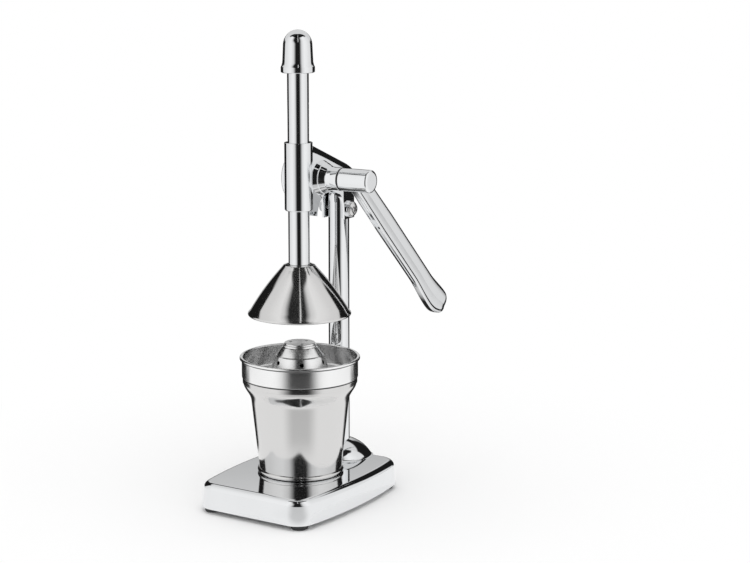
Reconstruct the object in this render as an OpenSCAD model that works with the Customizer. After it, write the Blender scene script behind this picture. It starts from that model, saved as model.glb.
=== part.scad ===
// Lever citrus juicer: cast base with column, rack and pinion head,
// press cone on a toothed rod, juice cup with a loose strainer.
// Lengths in millimetres, Z up, front of the juicer towards -Y.

/* [Base] */
// Width across the bowed sides of the base
base_width = 116; // [110:1:124]
// Length of the base from front to back
base_length = 152; // [150:1:164]
// Height of the base casting above its feet
base_height = 21.5; // [19:0.5:26]
// Plan radius of the bowed long sides
side_radius = 410; // [360:10:700]
// Plan radius of the upright corners
corner_radius = 16; // [14:0.5:20]
// Radius of the rounded top edge
top_edge = 5; // [3:0.5:6]
// Thickness of the top plate
base_plate = 5; // [4:0.5:7]
// Thickness of the outer wall
base_wall = 5; // [4:0.5:6]
// Thickness of the ribs under the plate
rib = 3; // [2:0.5:5]
// Radius of the domed foot of the column
dome_radius = 32.8; // [31:0.2:35]
// Rise of the domed foot above the plate
dome_rise = 15.9; // [13:0.1:18]
// Space between the cup foot and the hollow in the dome
saddle_gap = 1.3; // [1:0.1:2.5]

/* [Feet] */
// Radius of a rubber foot
foot_radius = 7; // [6:0.25:7.5]
// Height of a rubber foot
foot_height = 3.3; // [3:0.1:5]
// Distance from the foot to the corner outline
foot_margin = 2; // [1.5:0.25:3]
// Radius of the foot screw thread
foot_screw = 1.75; // [1.5:0.25:2]
// Length of the foot screw thread
foot_screw_length = 11; // [9:1:13]

/* [Column] */
// Radius of the column
column_radius = 8.8; // [8.4:0.1:9.2]
// Space between the strainer rim and the column
column_gap = 1.2; // [0.8:0.1:3]
// Thickness of the web that the column stands on
seat_web = 4.5; // [3.5:0.5:5.5]
// Radius of the column bolt thread
bolt_radius = 4; // [3:0.25:4.5]
// Height of the column bolt head
bolt_head = 5; // [4:0.25:5.5]
// Thickness of the column washer
bolt_washer = 1.6; // [1.2:0.1:2]

/* [Cup] */
// Height of the cup
cup_height = 79.8; // [72:0.2:90]
// Sheet thickness of the cup
cup_wall = 1; // [0.8:0.1:1.4]
// Radius of the foot bead of the cup
cup_foot = 35.7; // [33:0.1:37]
// Radius of the bead section at the cup foot
cup_bead = 1.5; // [1:0.1:1.6]
// Radius of the cup at its neck
cup_neck = 39.5; // [38:0.1:40.5]
// Height of the neck above the base plate
neck_height = 59; // [54:0.5:62]
// Height of the rolled lip at the mouth of the cup
lip_height = 4.4; // [3.6:0.2:5]
// Space between the cup and the base plate
cup_rest = 0.2; // [0.1:0.05:0.3]

/* [Strainer] */
// Radius of the strainer rim
rim_radius = 49.5; // [49:0.1:52]
// Radius of the strainer band
band_radius = 47.8; // [47:0.1:48.3]
// Height of the strainer band with its rim
band_height = 17.4; // [14:0.2:20]
// Sheet thickness of the strainer
strainer_wall = 1; // [0.8:0.1:1.3]
// Depth of the strainer floor under the band
floor_depth = 4; // [3:0.25:5]
// Space between the strainer and the cup
strainer_gap = 0.8; // [0.6:0.1:1.2]
// Radius of the strainer dome at its foot
strainer_foot = 27.5; // [26:0.5:30]
// Height of the strainer dome above the floor
strainer_dome = 32.6; // [28:0.2:36]
// Radius of the flat top of the strainer dome
strainer_top = 12.7; // [12:0.1:14]
// Radius of the holes in the dome
dome_hole = 1.55; // [1.2:0.05:1.8]
// Number of holes in the floor
floor_holes = 12; // [8:2:16]

/* [Press] */
// Radius of the rod
rod_radius = 8.7; // [8.5:0.05:8.9]
// Distance from the strainer rim up to the cone rim
press_gap = 35.8; // [32:0.2:40]
// Travel of the press from the drawn position down
press_stroke = 50; // [44:1:50]
// Travel of the press from the drawn position up
press_lift = 7; // [5:0.5:8]
// Radius of the cone rim
cone_radius = 42.3; // [40:0.1:43]
// Height of the cone
cone_height = 40.6; // [38:0.2:44]
// Radius of the cone at its top
cone_top = 11.2; // [10.5:0.1:12]
// Sheet thickness of the cone
cone_wall = 1.2; // [1:0.1:1.6]
// Swell of the cone side
cone_swell = 1.5; // [0.8:0.1:2]
// Thickness of the flat cone top
cone_crown = 2.4; // [2:0.1:3]
// Length of rod between cone and head
rod_below = 44; // [40:0.5:50]
// Length of rod between head and cap
rod_above = 55.8; // [54:0.2:64]
// Radius of the threaded spigots of the rod
spigot = 5; // [4.5:0.1:5.5]
// Radius of the cone screw thread
cone_screw_radius = 2.5; // [2:0.1:3]

/* [Cap] */
// Radius of the cap rim
cap_radius = 13.7; // [12.8:0.1:15]
// Height of the cap
cap_height = 34; // [30:0.5:38]
// Height of the cap rim
cap_rim = 4.4; // [3.6:0.2:6]
// Radius of the cap above its flared rim
cap_waist = 12.3; // [12:0.1:12.7]
// Radius of the cap at the foot of its dome
cap_side = 11.75; // [11.4:0.05:12]
// Height of the cap dome
cap_dome = 12.3; // [11:0.1:13]

/* [Head] */
// Radius of the rod sleeve
sleeve_radius = 11.5; // [11.2:0.1:12.5]
// Length of the rod sleeve
sleeve_length = 55.4; // [52:0.2:60]
// Height of the lever axis above the sleeve end
axis_rise = 25.2; // [24.5:0.1:27]
// Half width of the web at the sleeve
web_front = 9.6; // [9.2:0.1:10.4]
// Half width of the web at the column
web_back = 11.5; // [11:0.1:11.9]
// Outer radius of the column socket
socket_radius = 12.4; // [12.3:0.1:13.2]
// Slope of the roof in degrees
roof_slope = 21.9; // [20:0.1:23]
// Radius of the vaulted roof
roof_vault = 10.4; // [10.2:0.1:10.8]
// Angle by which the round roof widens towards the column
vault_taper = 2.4; // [2.2:0.1:3]
// Side rounding of the hood behind the column
hood_round = 30; // [29:0.5:33]
// Length of the socket legs below the sleeve end
leg_drop = 13.5; // [12:0.5:16]
// Height of the clamp screw above the leg ends
clamp_rise = 8; // [7.8:0.1:9]
// Radius of the clamp screw thread
clamp_radius = 2.5; // [2:0.1:3]
// Radius of the clamp screw head
clamp_head = 6; // [5:0.1:6.5]
// Distance from the symmetry plane to the gear cover
cover_face = 13; // [12.5:0.1:14]
// Thickness of the gear cover flange
cover_plate = 3; // [2.5:0.25:4]
// Radius of the barrel at the head
barrel_radius = 11.4; // [11.2:0.1:12]
// Radius of the barrel beyond its shoulder
barrel_neck = 10.2; // [10.1:0.1:10.8]
// Distance from the symmetry plane to the barrel end
barrel_end = 29.1; // [28:0.1:31]

/* [Gear] */
// Tooth module
gear_module = 1.5; // [1.5:0.05:1.6]
// Number of pinion teeth
gear_teeth = 18; // [17:1:18]
// Pressure angle in degrees
pressure_angle = 20; // [20:0.5:22]
// Play between pinion and rack teeth
backlash = 0.16; // [0.12:0.02:0.24]
// Half width of the pinion
pinion_half = 5; // [4.5:0.1:5]
// Distance of the rack pitch line behind the rod axis
rack_line = 5.5; // [5.2:0.1:5.6]
// Radius of the pinion shaft
shaft_radius = 5; // [4.5:0.1:5.4]
// Radius of the pinion pin
pin_radius = 1.25; // [1:0.05:1.5]

/* [Lever] */
// Radius of the lever hub
hub_radius = 9.3; // [9:0.1:10]
// Length of the lever hub
hub_length = 27.9; // [25:0.1:28]
// Bevel of the hub end
hub_bevel = 0.8; // [0.4:0.1:1.2]
// Thickness of the hub washer
hub_washer_height = 0.6; // [0.4:0.1:1]
// Slope of the lever under the horizontal in degrees
arm_slope = 43; // [40:0.5:46]
// Length of the lever from its axis
arm_length = 191.5; // [170:0.5:210]
// Half width of the lever arm
arm_half = 10; // [9:0.1:10.6]
// Half width of the lever end
arm_flare = 13.32; // [12.6:0.06:14]
// Rounding of the lever end
arm_round = 10; // [9:0.1:11]
// Thickness of the lever arm
arm_thick = 7; // [6:0.1:9]
// Width of the channel in the lever arm
channel = 3.4; // [2.4:0.1:4]
// Depth of the channel in the lever arm
channel_depth = 11; // [8:0.5:13]

/* [Fits] */
// Radial play of turning and sliding fits
play = 0.08; // [0.05:0.01:0.1]
// Radial play of screws and seats
seat_play = 0.06; // [0.04:0.01:0.1]
// Space between moving faces
face_gap = 0.3; // [0.2:0.05:0.4]

/* [Hidden] */
$fn = 96;
half_w = base_width / 2;
half_l = base_length / 2;
base_top = foot_height + base_height;
arc_x = half_w - side_radius;
corner_y = half_l - corner_radius;
corner_x = arc_x + sqrt(pow(side_radius - corner_radius, 2) - pow(corner_y, 2));
corner_turn = atan2(corner_y, corner_x - arc_x);
seam = 0.02;
foot_step = (corner_radius - foot_radius - foot_margin) / sqrt(2);
foot_x = corner_x + foot_step;
foot_y = corner_y + foot_step;
foot_boss = foot_radius + 1.5;
foot_head = foot_screw * 1.9;
foot_sink = foot_height * 0.55;
column_y = rim_radius + column_gap + column_radius;
column_boss = column_radius + 6.2;
washer_radius = bolt_radius * 2;
bolt_flat = bolt_radius * 1.62;
seat_z = foot_height + 1.6 + bolt_head + bolt_washer + seat_web;
cup_z = base_top + cup_rest;
cup_mouth = band_radius - 0.6;
lip_roll = 0.6;
mouth_z = cup_z + cup_height;
band_z = mouth_z + 0.2;
rim_z = band_z + band_height;
skirt = cup_mouth - lip_roll - cup_wall - strainer_gap;
floor_z = band_z - floor_depth;
strainer_top_z = floor_z + strainer_dome;
cone_z = rim_z + press_gap;
crown_z = cone_z + cone_height;
sleeve_z = crown_z + rod_below;
sleeve_top = sleeve_z + sleeve_length;
cap_z = sleeve_top + rod_above;
cap_top = cap_z + cap_height;
pitch_radius = gear_module * gear_teeth / 2;
tooth_turn = 360 / gear_teeth;
screw_turn = 120;
tooth_pitch = PI * gear_module;
addendum = gear_module;
dedendum = gear_module * 1.25;
tip_radius = pitch_radius + addendum;
axis_y = rack_line + pitch_radius;
axis_z = sleeve_z + axis_rise;
cavity = tip_radius + 0.7;
cavity_half = pinion_half + 0.5;
cover_radius = cavity + 5.8;
cover_screw = 1.5;
cover_circle = (cavity + cover_radius) / 2;
bore = rod_radius + play;
roof_z = sleeve_top - 2;
leg_z = sleeve_z - leg_drop;
arch_a = sleeve_radius + 1;
arch_b = column_y - column_radius + 0.3;
arch_r = (arch_b - arch_a) / 2;
arch_y = (arch_a + arch_b) / 2;
arch_z = axis_z - 11.8 - arch_r;
slot_half = column_radius + 0.5;
slot_z = arch_z + 6;
clamp_z = leg_z + clamp_rise;
clamp_face = socket_radius + 0.4;
roof_reach = 2 * column_y;
hood_from = column_y - 3.5;
hood_y = column_y + socket_radius + 0.5 - hood_round;
hood_z = crest(hood_from) - sqrt(pow(hood_round, 2) - pow(hood_from - hood_y, 2));
column_top = hood_z + sqrt(pow(hood_round, 2) - pow(column_y + column_radius - hood_y, 2)) - 3.6;
shoulder_x = web_back + 2.3;
washer_x = barrel_end + face_gap;
hub_x = washer_x + hub_washer_height;
hub_end = hub_x + hub_length;
arm_x = hub_x + hub_length * 0.47;
shaft_left = cover_face - 1.2;
shaft_right = hub_end - 4.5;
set_x = hub_x + 4.5;
tip_along = arm_length - arm_round;
tip_side = arm_flare - arm_round;
tip_y = axis_y + tip_along * cos(arm_slope) + tip_side * sin(arm_slope) + arm_round;
frame_y = (half_l - tip_y) / 2;

// Shift that brings the middle of the footprint box to the origin
module placed() {
  translate([0, frame_y, 0]) children();
}

// Cylinder along +X from x0 to x1 on a line parallel to X
module bar_x(x0, x1, y, z, r, r2 = -1) {
  translate([x0, y, z]) rotate([0, 90, 0])
    cylinder(h = x1 - x0, r1 = r, r2 = r2 < 0 ? r : r2);
}

// Outline in the YZ plane drawn out along X
module plate_x(x0, x1) {
  translate([x0, 0, 0]) rotate([90, 0, 90]) linear_extrude(height = x1 - x0) children();
}

// Side section of the base with its rounded top edge
module edge_section(r, h) {
  square([r, h - top_edge]);
  square([r - top_edge, h]);
  translate([r - top_edge, h - top_edge]) circle(r = top_edge);
}

// Lengthwise section of the base
module long_section() {
  translate([-half_l, 0]) square([2 * half_l, base_height - top_edge]);
  translate([top_edge - half_l, 0]) square([2 * (half_l - top_edge), base_height]);
  for (s = [-1, 1])
    translate([s * (half_l - top_edge), base_height - top_edge]) circle(r = top_edge);
}

module side_disc() {
  translate([arc_x, 0, 0]) rotate_extrude() edge_section(side_radius, base_height);
}

module corner_cut() {
  reach = corner_radius + 12;
  translate([0, 0, -1]) linear_extrude(height = base_height + 2) polygon([
    [corner_x, corner_y], [corner_x + reach * cos(corner_turn), corner_y + reach * sin(corner_turn)],
    [corner_x + reach, corner_y + reach], [corner_x, corner_y + reach]
  ]);
}

module corner_fill() {
  translate([corner_x, corner_y, 0]) rotate([0, 0, corner_turn])
    rotate_extrude(angle = 90 - corner_turn) edge_section(corner_radius - seam, base_height - seam);
}

module at_corners() {
  for (sx = [0, 1]) for (sy = [0, 1])
    mirror([sx, 0, 0]) mirror([0, sy, 0]) children();
}

module base_block() {
  difference() {
    intersection() {
      side_disc();
      mirror([1, 0, 0]) side_disc();
      plate_x(-half_w - 5, half_w + 5) long_section();
    }
    at_corners() corner_cut();
  }
  at_corners() corner_fill();
}

module pocket_outline() {
  wide = corner_x + corner_radius - base_wall - 0.6;
  difference() {
    union() {
      square([2 * wide, 2 * (corner_y - 2)], center = true);
      square([2 * (corner_x - 2), 2 * (half_l - base_wall)], center = true);
    }
    at_corners() translate([foot_x, foot_y]) circle(r = foot_boss);
    translate([0, column_y]) circle(r = column_boss);
    square([rib, 3 * half_l], center = true);
    square([3 * half_w, rib], center = true);
  }
}

module base() {
  placed() color("#d9dbdd") difference() {
    union() {
      translate([0, 0, foot_height]) base_block();
      difference() {
        intersection() {
          translate([0, column_y, base_top + dome_rise - dome_radius]) sphere(r = dome_radius);
          translate([-half_w, column_y - dome_radius, base_top - 2])
            cube([2 * half_w, half_l - 1 - column_y + dome_radius, dome_rise + 4]);
        }
        translate([0, 0, base_top]) cylinder(h = dome_rise + 5, r = cup_foot + saddle_gap);
      }
    }
    translate([0, 0, foot_height - 1]) linear_extrude(height = base_height - base_plate + 1)
      pocket_outline();
    translate([0, column_y, seat_z]) cylinder(h = 60, r = column_radius + seat_play);
    translate([0, column_y, foot_height - 1]) cylinder(h = 40, r = bolt_radius + 0.3);
    translate([0, column_y, foot_height - 1])
      cylinder(h = seat_z - seat_web - foot_height + 1, r = washer_radius + 0.5);
    at_corners() translate([foot_x, foot_y, foot_height - 1])
      cylinder(h = foot_screw_length + 1, r = foot_screw + seat_play);
  }
}

module foot(sx, sy) {
  placed() translate([sx * foot_x, sy * foot_y, 0]) color("#1d1d1f") difference() {
    union() {
      cylinder(h = foot_height, r = foot_radius - 0.4);
      translate([0, 0, 0.4]) cylinder(h = foot_height - 0.4, r = foot_radius);
    }
    translate([0, 0, -1]) cylinder(h = foot_sink + 1, r = foot_head + 0.4);
    translate([0, 0, -1]) cylinder(h = foot_height + 2, r = foot_screw + seat_play);
  }
}

module foot_screw_piece(sx, sy) {
  placed() translate([sx * foot_x, sy * foot_y, 0]) color("#8f9295") difference() {
    union() {
      translate([0, 0, foot_sink - 1.2]) cylinder(h = 1.2, r = foot_head);
      translate([0, 0, foot_sink - 0.6]) cylinder(h = foot_screw_length - 0.4, r = foot_screw);
    }
    cross_recess(foot_head * 0.7, foot_sink - 1.2, 0.8);
  }
}

// Cross recess entered from below at height z
module cross_recess(reach, z, depth) {
  for (a = [0, 90]) rotate([0, 0, a])
    translate([-reach, -reach * 0.17, z - 1]) cube([2 * reach, reach * 0.34, depth + 1]);
}

module column() {
  placed() color("#e4e6e8") difference() {
    translate([0, column_y, seat_z]) cylinder(h = column_top - seat_z, r = column_radius);
    translate([0, column_y, seat_z - 1]) cylinder(h = 26, r = bolt_radius + seat_play);
    bar_x(-20, 20, column_y, clamp_z, clamp_radius + 0.15);
  }
}

module column_bolt() {
  under = seat_z - seat_web - bolt_washer;
  placed() translate([0, column_y, 0]) color("#9a9da0") union() {
    translate([0, 0, under - bolt_head]) cylinder(h = bolt_head, r = bolt_flat * 2 / sqrt(3), $fn = 6);
    translate([0, 0, under - 1]) cylinder(h = seat_z + 20 - under, r = bolt_radius);
  }
}

module column_washer() {
  placed() translate([0, column_y, seat_z - seat_web - bolt_washer]) color("#a9acaf") difference() {
    cylinder(h = bolt_washer, r = washer_radius);
    translate([0, 0, -1]) cylinder(h = bolt_washer + 2, r = bolt_radius + 0.3);
  }
}

// Height of the roof crest above a place behind the rod
function crest(y) = roof_z - (y - sleeve_radius) * tan(roof_slope);

module web_plan() {
  polygon([[-web_front, 3], [web_front, 3], [web_back, column_y], [-web_back, column_y]]);
  translate([0, column_y]) circle(r = socket_radius);
}

// Round roof that falls and widens towards the column
module roof_solid() {
  widen = tan(vault_taper);
  front = -hood_round;
  translate([0, sleeve_radius, roof_z]) rotate([-90 - roof_slope - vault_taper, 0, 0])
    translate([0, roof_vault, front]) union() {
      cylinder(h = roof_reach, r1 = roof_vault + front * widen, r2 = roof_vault + (roof_reach + front) * widen);
      translate([-20, 0, 0]) cube([40, 90, roof_reach]);
    }
}

// Side view of the hood, rounded down behind the column
module hood_outline() {
  rear = column_y + socket_radius + 3;
  edge = hood_from - 0.5;
  translate([hood_y, hood_z]) circle(r = hood_round);
  polygon([
    [-5, leg_z - 1], [rear, leg_z - 1], [rear, hood_z], [edge, hood_z],
    [edge, crest(edge) + 3], [-5, crest(-5) + 3]
  ]);
}

module web() {
  difference() {
    intersection() {
      translate([0, 0, leg_z]) linear_extrude(height = roof_z - leg_z) web_plan();
      roof_solid();
      plate_x(-hood_round, hood_round) hood_outline();
    }
    plate_x(-30, 30) union() {
      translate([arch_y, arch_z]) circle(r = arch_r);
      translate([arch_a, leg_z - 5]) square([2 * arch_r, arch_z - leg_z + 5]);
      translate([-20, leg_z - 5]) square([arch_a + 20, sleeve_z - 1.5 - leg_z + 5]);
    }
  }
}

module sleeve() {
  round = 1.5;
  translate([0, 0, sleeve_z]) rotate_extrude() union() {
    translate([0, round]) square([sleeve_radius, sleeve_length - round - 0.4]);
    square([sleeve_radius - round, sleeve_length]);
    translate([sleeve_radius - round, round]) circle(r = round);
    translate([0, sleeve_length - 1]) square([sleeve_radius - 0.4, 1]);
  }
}

module head() {
  placed() color("#dfe1e3") difference() {
    union() {
      sleeve();
      web();
      bar_x(-cover_face, 0, axis_y, axis_z, cover_radius);
      bar_x(4, shoulder_x, axis_y, axis_z, barrel_radius);
      bar_x(shoulder_x, barrel_end, axis_y, axis_z, barrel_neck, hub_radius + 0.1);
      for (s = [0, 1]) mirror([s, 0, 0]) bar_x(slot_half + 0.4, clamp_face, column_y, clamp_z, 7);
    }
    translate([0, 0, leg_z - 1]) cylinder(h = sleeve_top - leg_z + 2, r = bore);
    bar_x(-cover_face - 1, cavity_half, axis_y, axis_z, cavity);
    bar_x(0, barrel_end + 1, axis_y, axis_z, shaft_radius + play);
    translate([0, column_y, leg_z - 1]) cylinder(h = column_top - leg_z + 1.3, r = column_radius + seat_play);
    translate([0, arch_y, 0]) rotate([-90, 0, 0]) mirror([0, 1, 0])
      linear_extrude(height = column_y - arch_y) union() {
        translate([-slot_half, leg_z - 1]) square([2 * slot_half, slot_z - leg_z + 1]);
        translate([0, slot_z]) circle(r = slot_half);
      }
    bar_x(-30, 30, column_y, clamp_z, clamp_radius + seat_play);
    for (a = [0, screw_turn, 2 * screw_turn])
      bar_x(-cover_face - 1, -cover_face + 7, axis_y + cover_circle * cos(a),
        axis_z + cover_circle * sin(a), cover_screw + seat_play);
  }
}

// Pan head screw along X: head outwards at x0, thread towards the far end
module screw_x(x0, head_r, head_h, r, length) {
  difference() {
    union() {
      bar_x(x0, x0 + head_h * 0.6, 0, 0, head_r);
      bar_x(x0 + head_h * 0.6, x0 + head_h, 0, 0, head_r, head_r * 0.72);
      bar_x(x0 - length, x0 + 0.5, 0, 0, r);
    }
    for (a = [45, 135]) rotate([a, 0, 0])
      translate([x0 + head_h * 0.35, -head_r * 0.6, -head_r * 0.11])
        cube([head_h, head_r * 1.2, head_r * 0.22]);
  }
}

module clamp_screw() {
  placed() translate([0, column_y, clamp_z]) color("#b9bcbf")
    screw_x(clamp_face, clamp_head, 3.5, clamp_radius, 2 * clamp_face + 5.5);
}

module clamp_nut() {
  placed() translate([-clamp_face - 4.2, column_y, clamp_z]) rotate([0, 90, 0])
    color("#9a9da0") difference() {
      cylinder(h = 4.2, r = clamp_radius * 1.85, $fn = 6);
      translate([0, 0, -1]) cylinder(h = 7, r = clamp_radius + seat_play);
    }
}

module gear_cover() {
  placed() color("#d2d4d6") difference() {
    union() {
      bar_x(-cover_face - cover_plate, -cover_face, axis_y, axis_z, cover_radius - 0.6, cover_radius);
      bar_x(-cover_face - 1, -cover_face + 1.5, axis_y, axis_z, cavity - seat_play);
      bar_x(-cover_face - 1, -cavity_half, axis_y, axis_z, shaft_radius + 3);
    }
    bar_x(-shaft_left - 0.5, 0, axis_y, axis_z, shaft_radius + play);
    for (a = [0, screw_turn, 2 * screw_turn])
      bar_x(-cover_face - cover_plate - 1, -cover_face + 2, axis_y + cover_circle * cos(a),
        axis_z + cover_circle * sin(a), cover_screw + seat_play);
  }
}

module cover_screw_piece(a) {
  placed() translate([0, axis_y + cover_circle * cos(a), axis_z + cover_circle * sin(a)])
    color("#9a9da0") mirror([1, 0, 0])
      screw_x(cover_face + cover_plate, cover_screw * 1.75, 2, cover_screw, cover_plate + 6);
}

// Outline of the lever arm with the hub axis at the origin, pointing along +X
module arm_outline() {
  neck = arm_length - 38;
  lean = atan2(arm_flare - arm_half, tip_along - neck);
  shoulder = [tip_along - arm_round * sin(lean), tip_side + arm_round * cos(lean)];
  polygon([
    [0, -hub_radius + 0.6], [neck, -arm_half], [shoulder[0], -shoulder[1]], [tip_along, -tip_side],
    [arm_length, -tip_side], [arm_length, tip_side],
    [tip_along, tip_side], shoulder, [neck, arm_half], [0, hub_radius - 0.6]
  ]);
  for (s = [-1, 1]) translate([tip_along, s * tip_side]) circle(r = arm_round);
}

// Channel along the underside of the arm
module channel_outline() {
  top = channel_depth - arm_half;
  translate([hub_radius + 10, -30]) square([arm_length - hub_radius - 32, 30 + top - 4]);
  translate([hub_radius + 14, -30]) square([arm_length - hub_radius - 40, 30 + top]);
  for (x = [hub_radius + 14, arm_length - 26]) translate([x, top - 4]) circle(r = 4);
}

module lever() {
  placed() color("#dcdee0") difference() {
    union() {
      bar_x(hub_x, hub_end - hub_bevel, axis_y, axis_z, hub_radius);
      bar_x(hub_end - hub_bevel, hub_end, axis_y, axis_z, hub_radius, hub_radius - hub_bevel);
      translate([0, axis_y, axis_z]) plate_x(arm_x - arm_thick / 2, arm_x + arm_thick / 2)
        rotate(-arm_slope) arm_outline();
    }
    translate([0, axis_y, axis_z]) plate_x(arm_x - channel / 2, arm_x + channel / 2)
      rotate(-arm_slope) channel_outline();
    bar_x(hub_x - 1, shaft_right + 0.5, axis_y, axis_z, shaft_radius + seat_play);
    translate([set_x, axis_y, axis_z - hub_radius - 1]) cylinder(h = hub_radius + 1, r = 2 + seat_play);
  }
}

module pinion_shaft() {
  placed() color("#a6a9ac") difference() {
    bar_x(-shaft_left, shaft_right, axis_y, axis_z, shaft_radius);
    translate([0, axis_y, axis_z]) rotate([90 + pin_turn, 0, 0])
      cylinder(h = 4 * tip_radius, r = pin_radius + seat_play, center = true);
  }
}

// Involute tooth sizes
function inv(a) = tan(a) * 180 / PI - a;
base_radius = pitch_radius * cos(pressure_angle);
root_radius = pitch_radius - dedendum;
pitch_half = 90 / gear_teeth - backlash / 2 / pitch_radius * 180 / PI;
pin_turn = 180 / gear_teeth;
flank = [for (k = [0:4]) base_radius + 0.02 + (tip_radius - base_radius - 0.02) * k / 4];
function tooth_half(r) = pitch_half + inv(pressure_angle) - inv(acos(min(1, base_radius / r)));
function at(r, a) = [r * cos(a), r * sin(a)];

module pinion_outline() {
  polygon([for (i = [0:gear_teeth - 1]) let (c = 180 + tooth_turn * i) each concat(
    [at(root_radius, c - tooth_half(flank[0]) - 0.6)],
    [for (r = flank) at(r, c - tooth_half(r))],
    [for (k = [4:-1:0]) at(flank[k], c + tooth_half(flank[k]))],
    [at(root_radius, c + tooth_half(flank[0]) + 0.6)]
  )]);
}

module pinion() {
  placed() color("#b4b1a8") difference() {
    translate([0, axis_y, axis_z]) plate_x(-pinion_half, pinion_half) pinion_outline();
    bar_x(-pinion_half - 1, pinion_half + 1, axis_y, axis_z, shaft_radius + seat_play);
    translate([0, axis_y, axis_z]) rotate([90 + pin_turn, 0, 0])
      cylinder(h = 4 * tip_radius, r = pin_radius + seat_play, center = true);
  }
}

module pinion_pin() {
  placed() color("#8f9295") translate([0, axis_y, axis_z]) rotate([90 + pin_turn, 0, 0])
    cylinder(h = 2 * root_radius - 1, r = pin_radius, center = true);
}

module set_screw() {
  placed() color("#55585b") translate([set_x, axis_y, axis_z - hub_radius + 0.4]) difference() {
    cylinder(h = hub_radius - 0.4 - shaft_radius - 0.02, r = 2);
    translate([0, 0, -1]) cylinder(h = 2.6, r = 1.15, $fn = 6);
  }
}

module hub_washer() {
  placed() color("#2a2a2c") difference() {
    bar_x(washer_x, hub_x, axis_y, axis_z, hub_radius + 0.1);
    bar_x(washer_x - 1, hub_x + 1, axis_y, axis_z, shaft_radius + seat_play);
  }
}

// Tooth spaces and flat of the rack in the YZ plane
module rack_cut() {
  first = -ceil((press_lift + 2.4 * tip_radius / 3) / tooth_pitch) - 1;
  last = ceil((press_stroke + 2.4 * tip_radius / 3) / tooth_pitch);
  tip = rack_line + addendum;
  root = rack_line - dedendum;
  slope = tan(pressure_angle);
  at_tip = tooth_pitch / 4 + addendum * slope;
  at_root = tooth_pitch / 4 - dedendum * slope;
  polygon(concat(
    [[30, axis_z + (first - 0.5) * tooth_pitch], [tip, axis_z + (first - 0.5) * tooth_pitch]],
    [for (i = [first:last]) let (z = axis_z + i * tooth_pitch)
      each [[tip, z - at_tip], [root, z - at_root], [root, z + at_root], [tip, z + at_tip]]],
    [[tip, axis_z + (last + 0.5) * tooth_pitch], [30, axis_z + (last + 0.5) * tooth_pitch]]
  ));
}

module rod() {
  placed() color("#e4e6e8") difference() {
    union() {
      translate([0, 0, crown_z]) cylinder(h = cap_z - crown_z, r = rod_radius);
      translate([0, 0, cap_z - 1]) cylinder(h = 15, r = spigot);
      translate([0, 0, crown_z - cone_crown + 0.3]) cylinder(h = cone_crown + 1, r = spigot);
    }
    plate_x(-15, 15) rack_cut();
    translate([0, 0, crown_z - 5]) cylinder(h = 23, r = cone_screw_radius + seat_play);
  }
}

module cap() {
  r = cap_radius;
  round = 0.9;
  flare = 5.6;
  placed() translate([0, 0, cap_z]) color("#e4e6e8") rotate_extrude() difference() {
    polygon(concat(
      [[0, 0]],
      [for (a = [-90:15:0]) [r - round + round * cos(a), round + round * sin(a)]],
      [for (t = [0:0.2:1]) [cap_waist + (r - cap_waist) * pow(1 - t, 2), cap_rim + flare * t]],
      [for (a = [0:7.5:90]) [cap_side * cos(a), cap_height - cap_dome + cap_dome * sin(a)]]
    ));
    translate([-1, -1]) square([spigot + seat_play + 1, 15.6]);
  }
}

// Side of the cone from rim to crown, moved inwards by a depth
function cone_side(t, depth) = let (
    a = [cone_radius - 0.5, cone_z], b = [cone_top + 1.8, crown_z - 0.9],
    d = (b - a) / norm(b - a), n = [d[1], -d[0]]
  ) a + (b - a) * t + n * (cone_swell * 4 * t * (1 - t) - depth);

module cone() {
  bead = 1.4;
  steps = 8;
  placed() color("#dfe1e3") rotate_extrude() union() {
    polygon(concat(
      [for (k = [0:steps]) cone_side(k / steps, 0)],
      [[cone_top, crown_z], [spigot + seat_play, crown_z], [spigot + seat_play, crown_z - cone_crown],
       [cone_top, crown_z - cone_crown]],
      [for (k = [steps:-1:0]) cone_side(k / steps, cone_wall)]
    ));
    translate([cone_radius - bead, cone_z]) circle(r = bead);
  }
}

module cone_washer() {
  placed() color("#a9acaf") translate([0, 0, crown_z - cone_crown - 1.2]) difference() {
    cylinder(h = 1.2, r = spigot + 3.5);
    translate([0, 0, -1]) cylinder(h = 4, r = cone_screw_radius + 0.2);
  }
}

module cone_screw() {
  under = crown_z - cone_crown - 1.2;
  placed() color("#b9bcbf") difference() {
    union() {
      translate([0, 0, under - 1.4]) cylinder(h = 1.4, r = cone_screw_radius * 1.9);
      translate([0, 0, under - 3]) cylinder(h = 1.6, r1 = cone_screw_radius * 1.3, r2 = cone_screw_radius * 1.9);
      translate([0, 0, under - 0.5]) cylinder(h = 16, r = cone_screw_radius);
    }
    translate([0, 0, 0]) cross_recess(cone_screw_radius * 1.2, under - 3, 1.8);
  }
}

// Side of the cup above the neck
function shoulder(t) = let (u = pow(t, 1.4)) cup_neck + (cup_mouth - lip_roll - cup_neck) * u * u * (3 - 2 * u);

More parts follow.
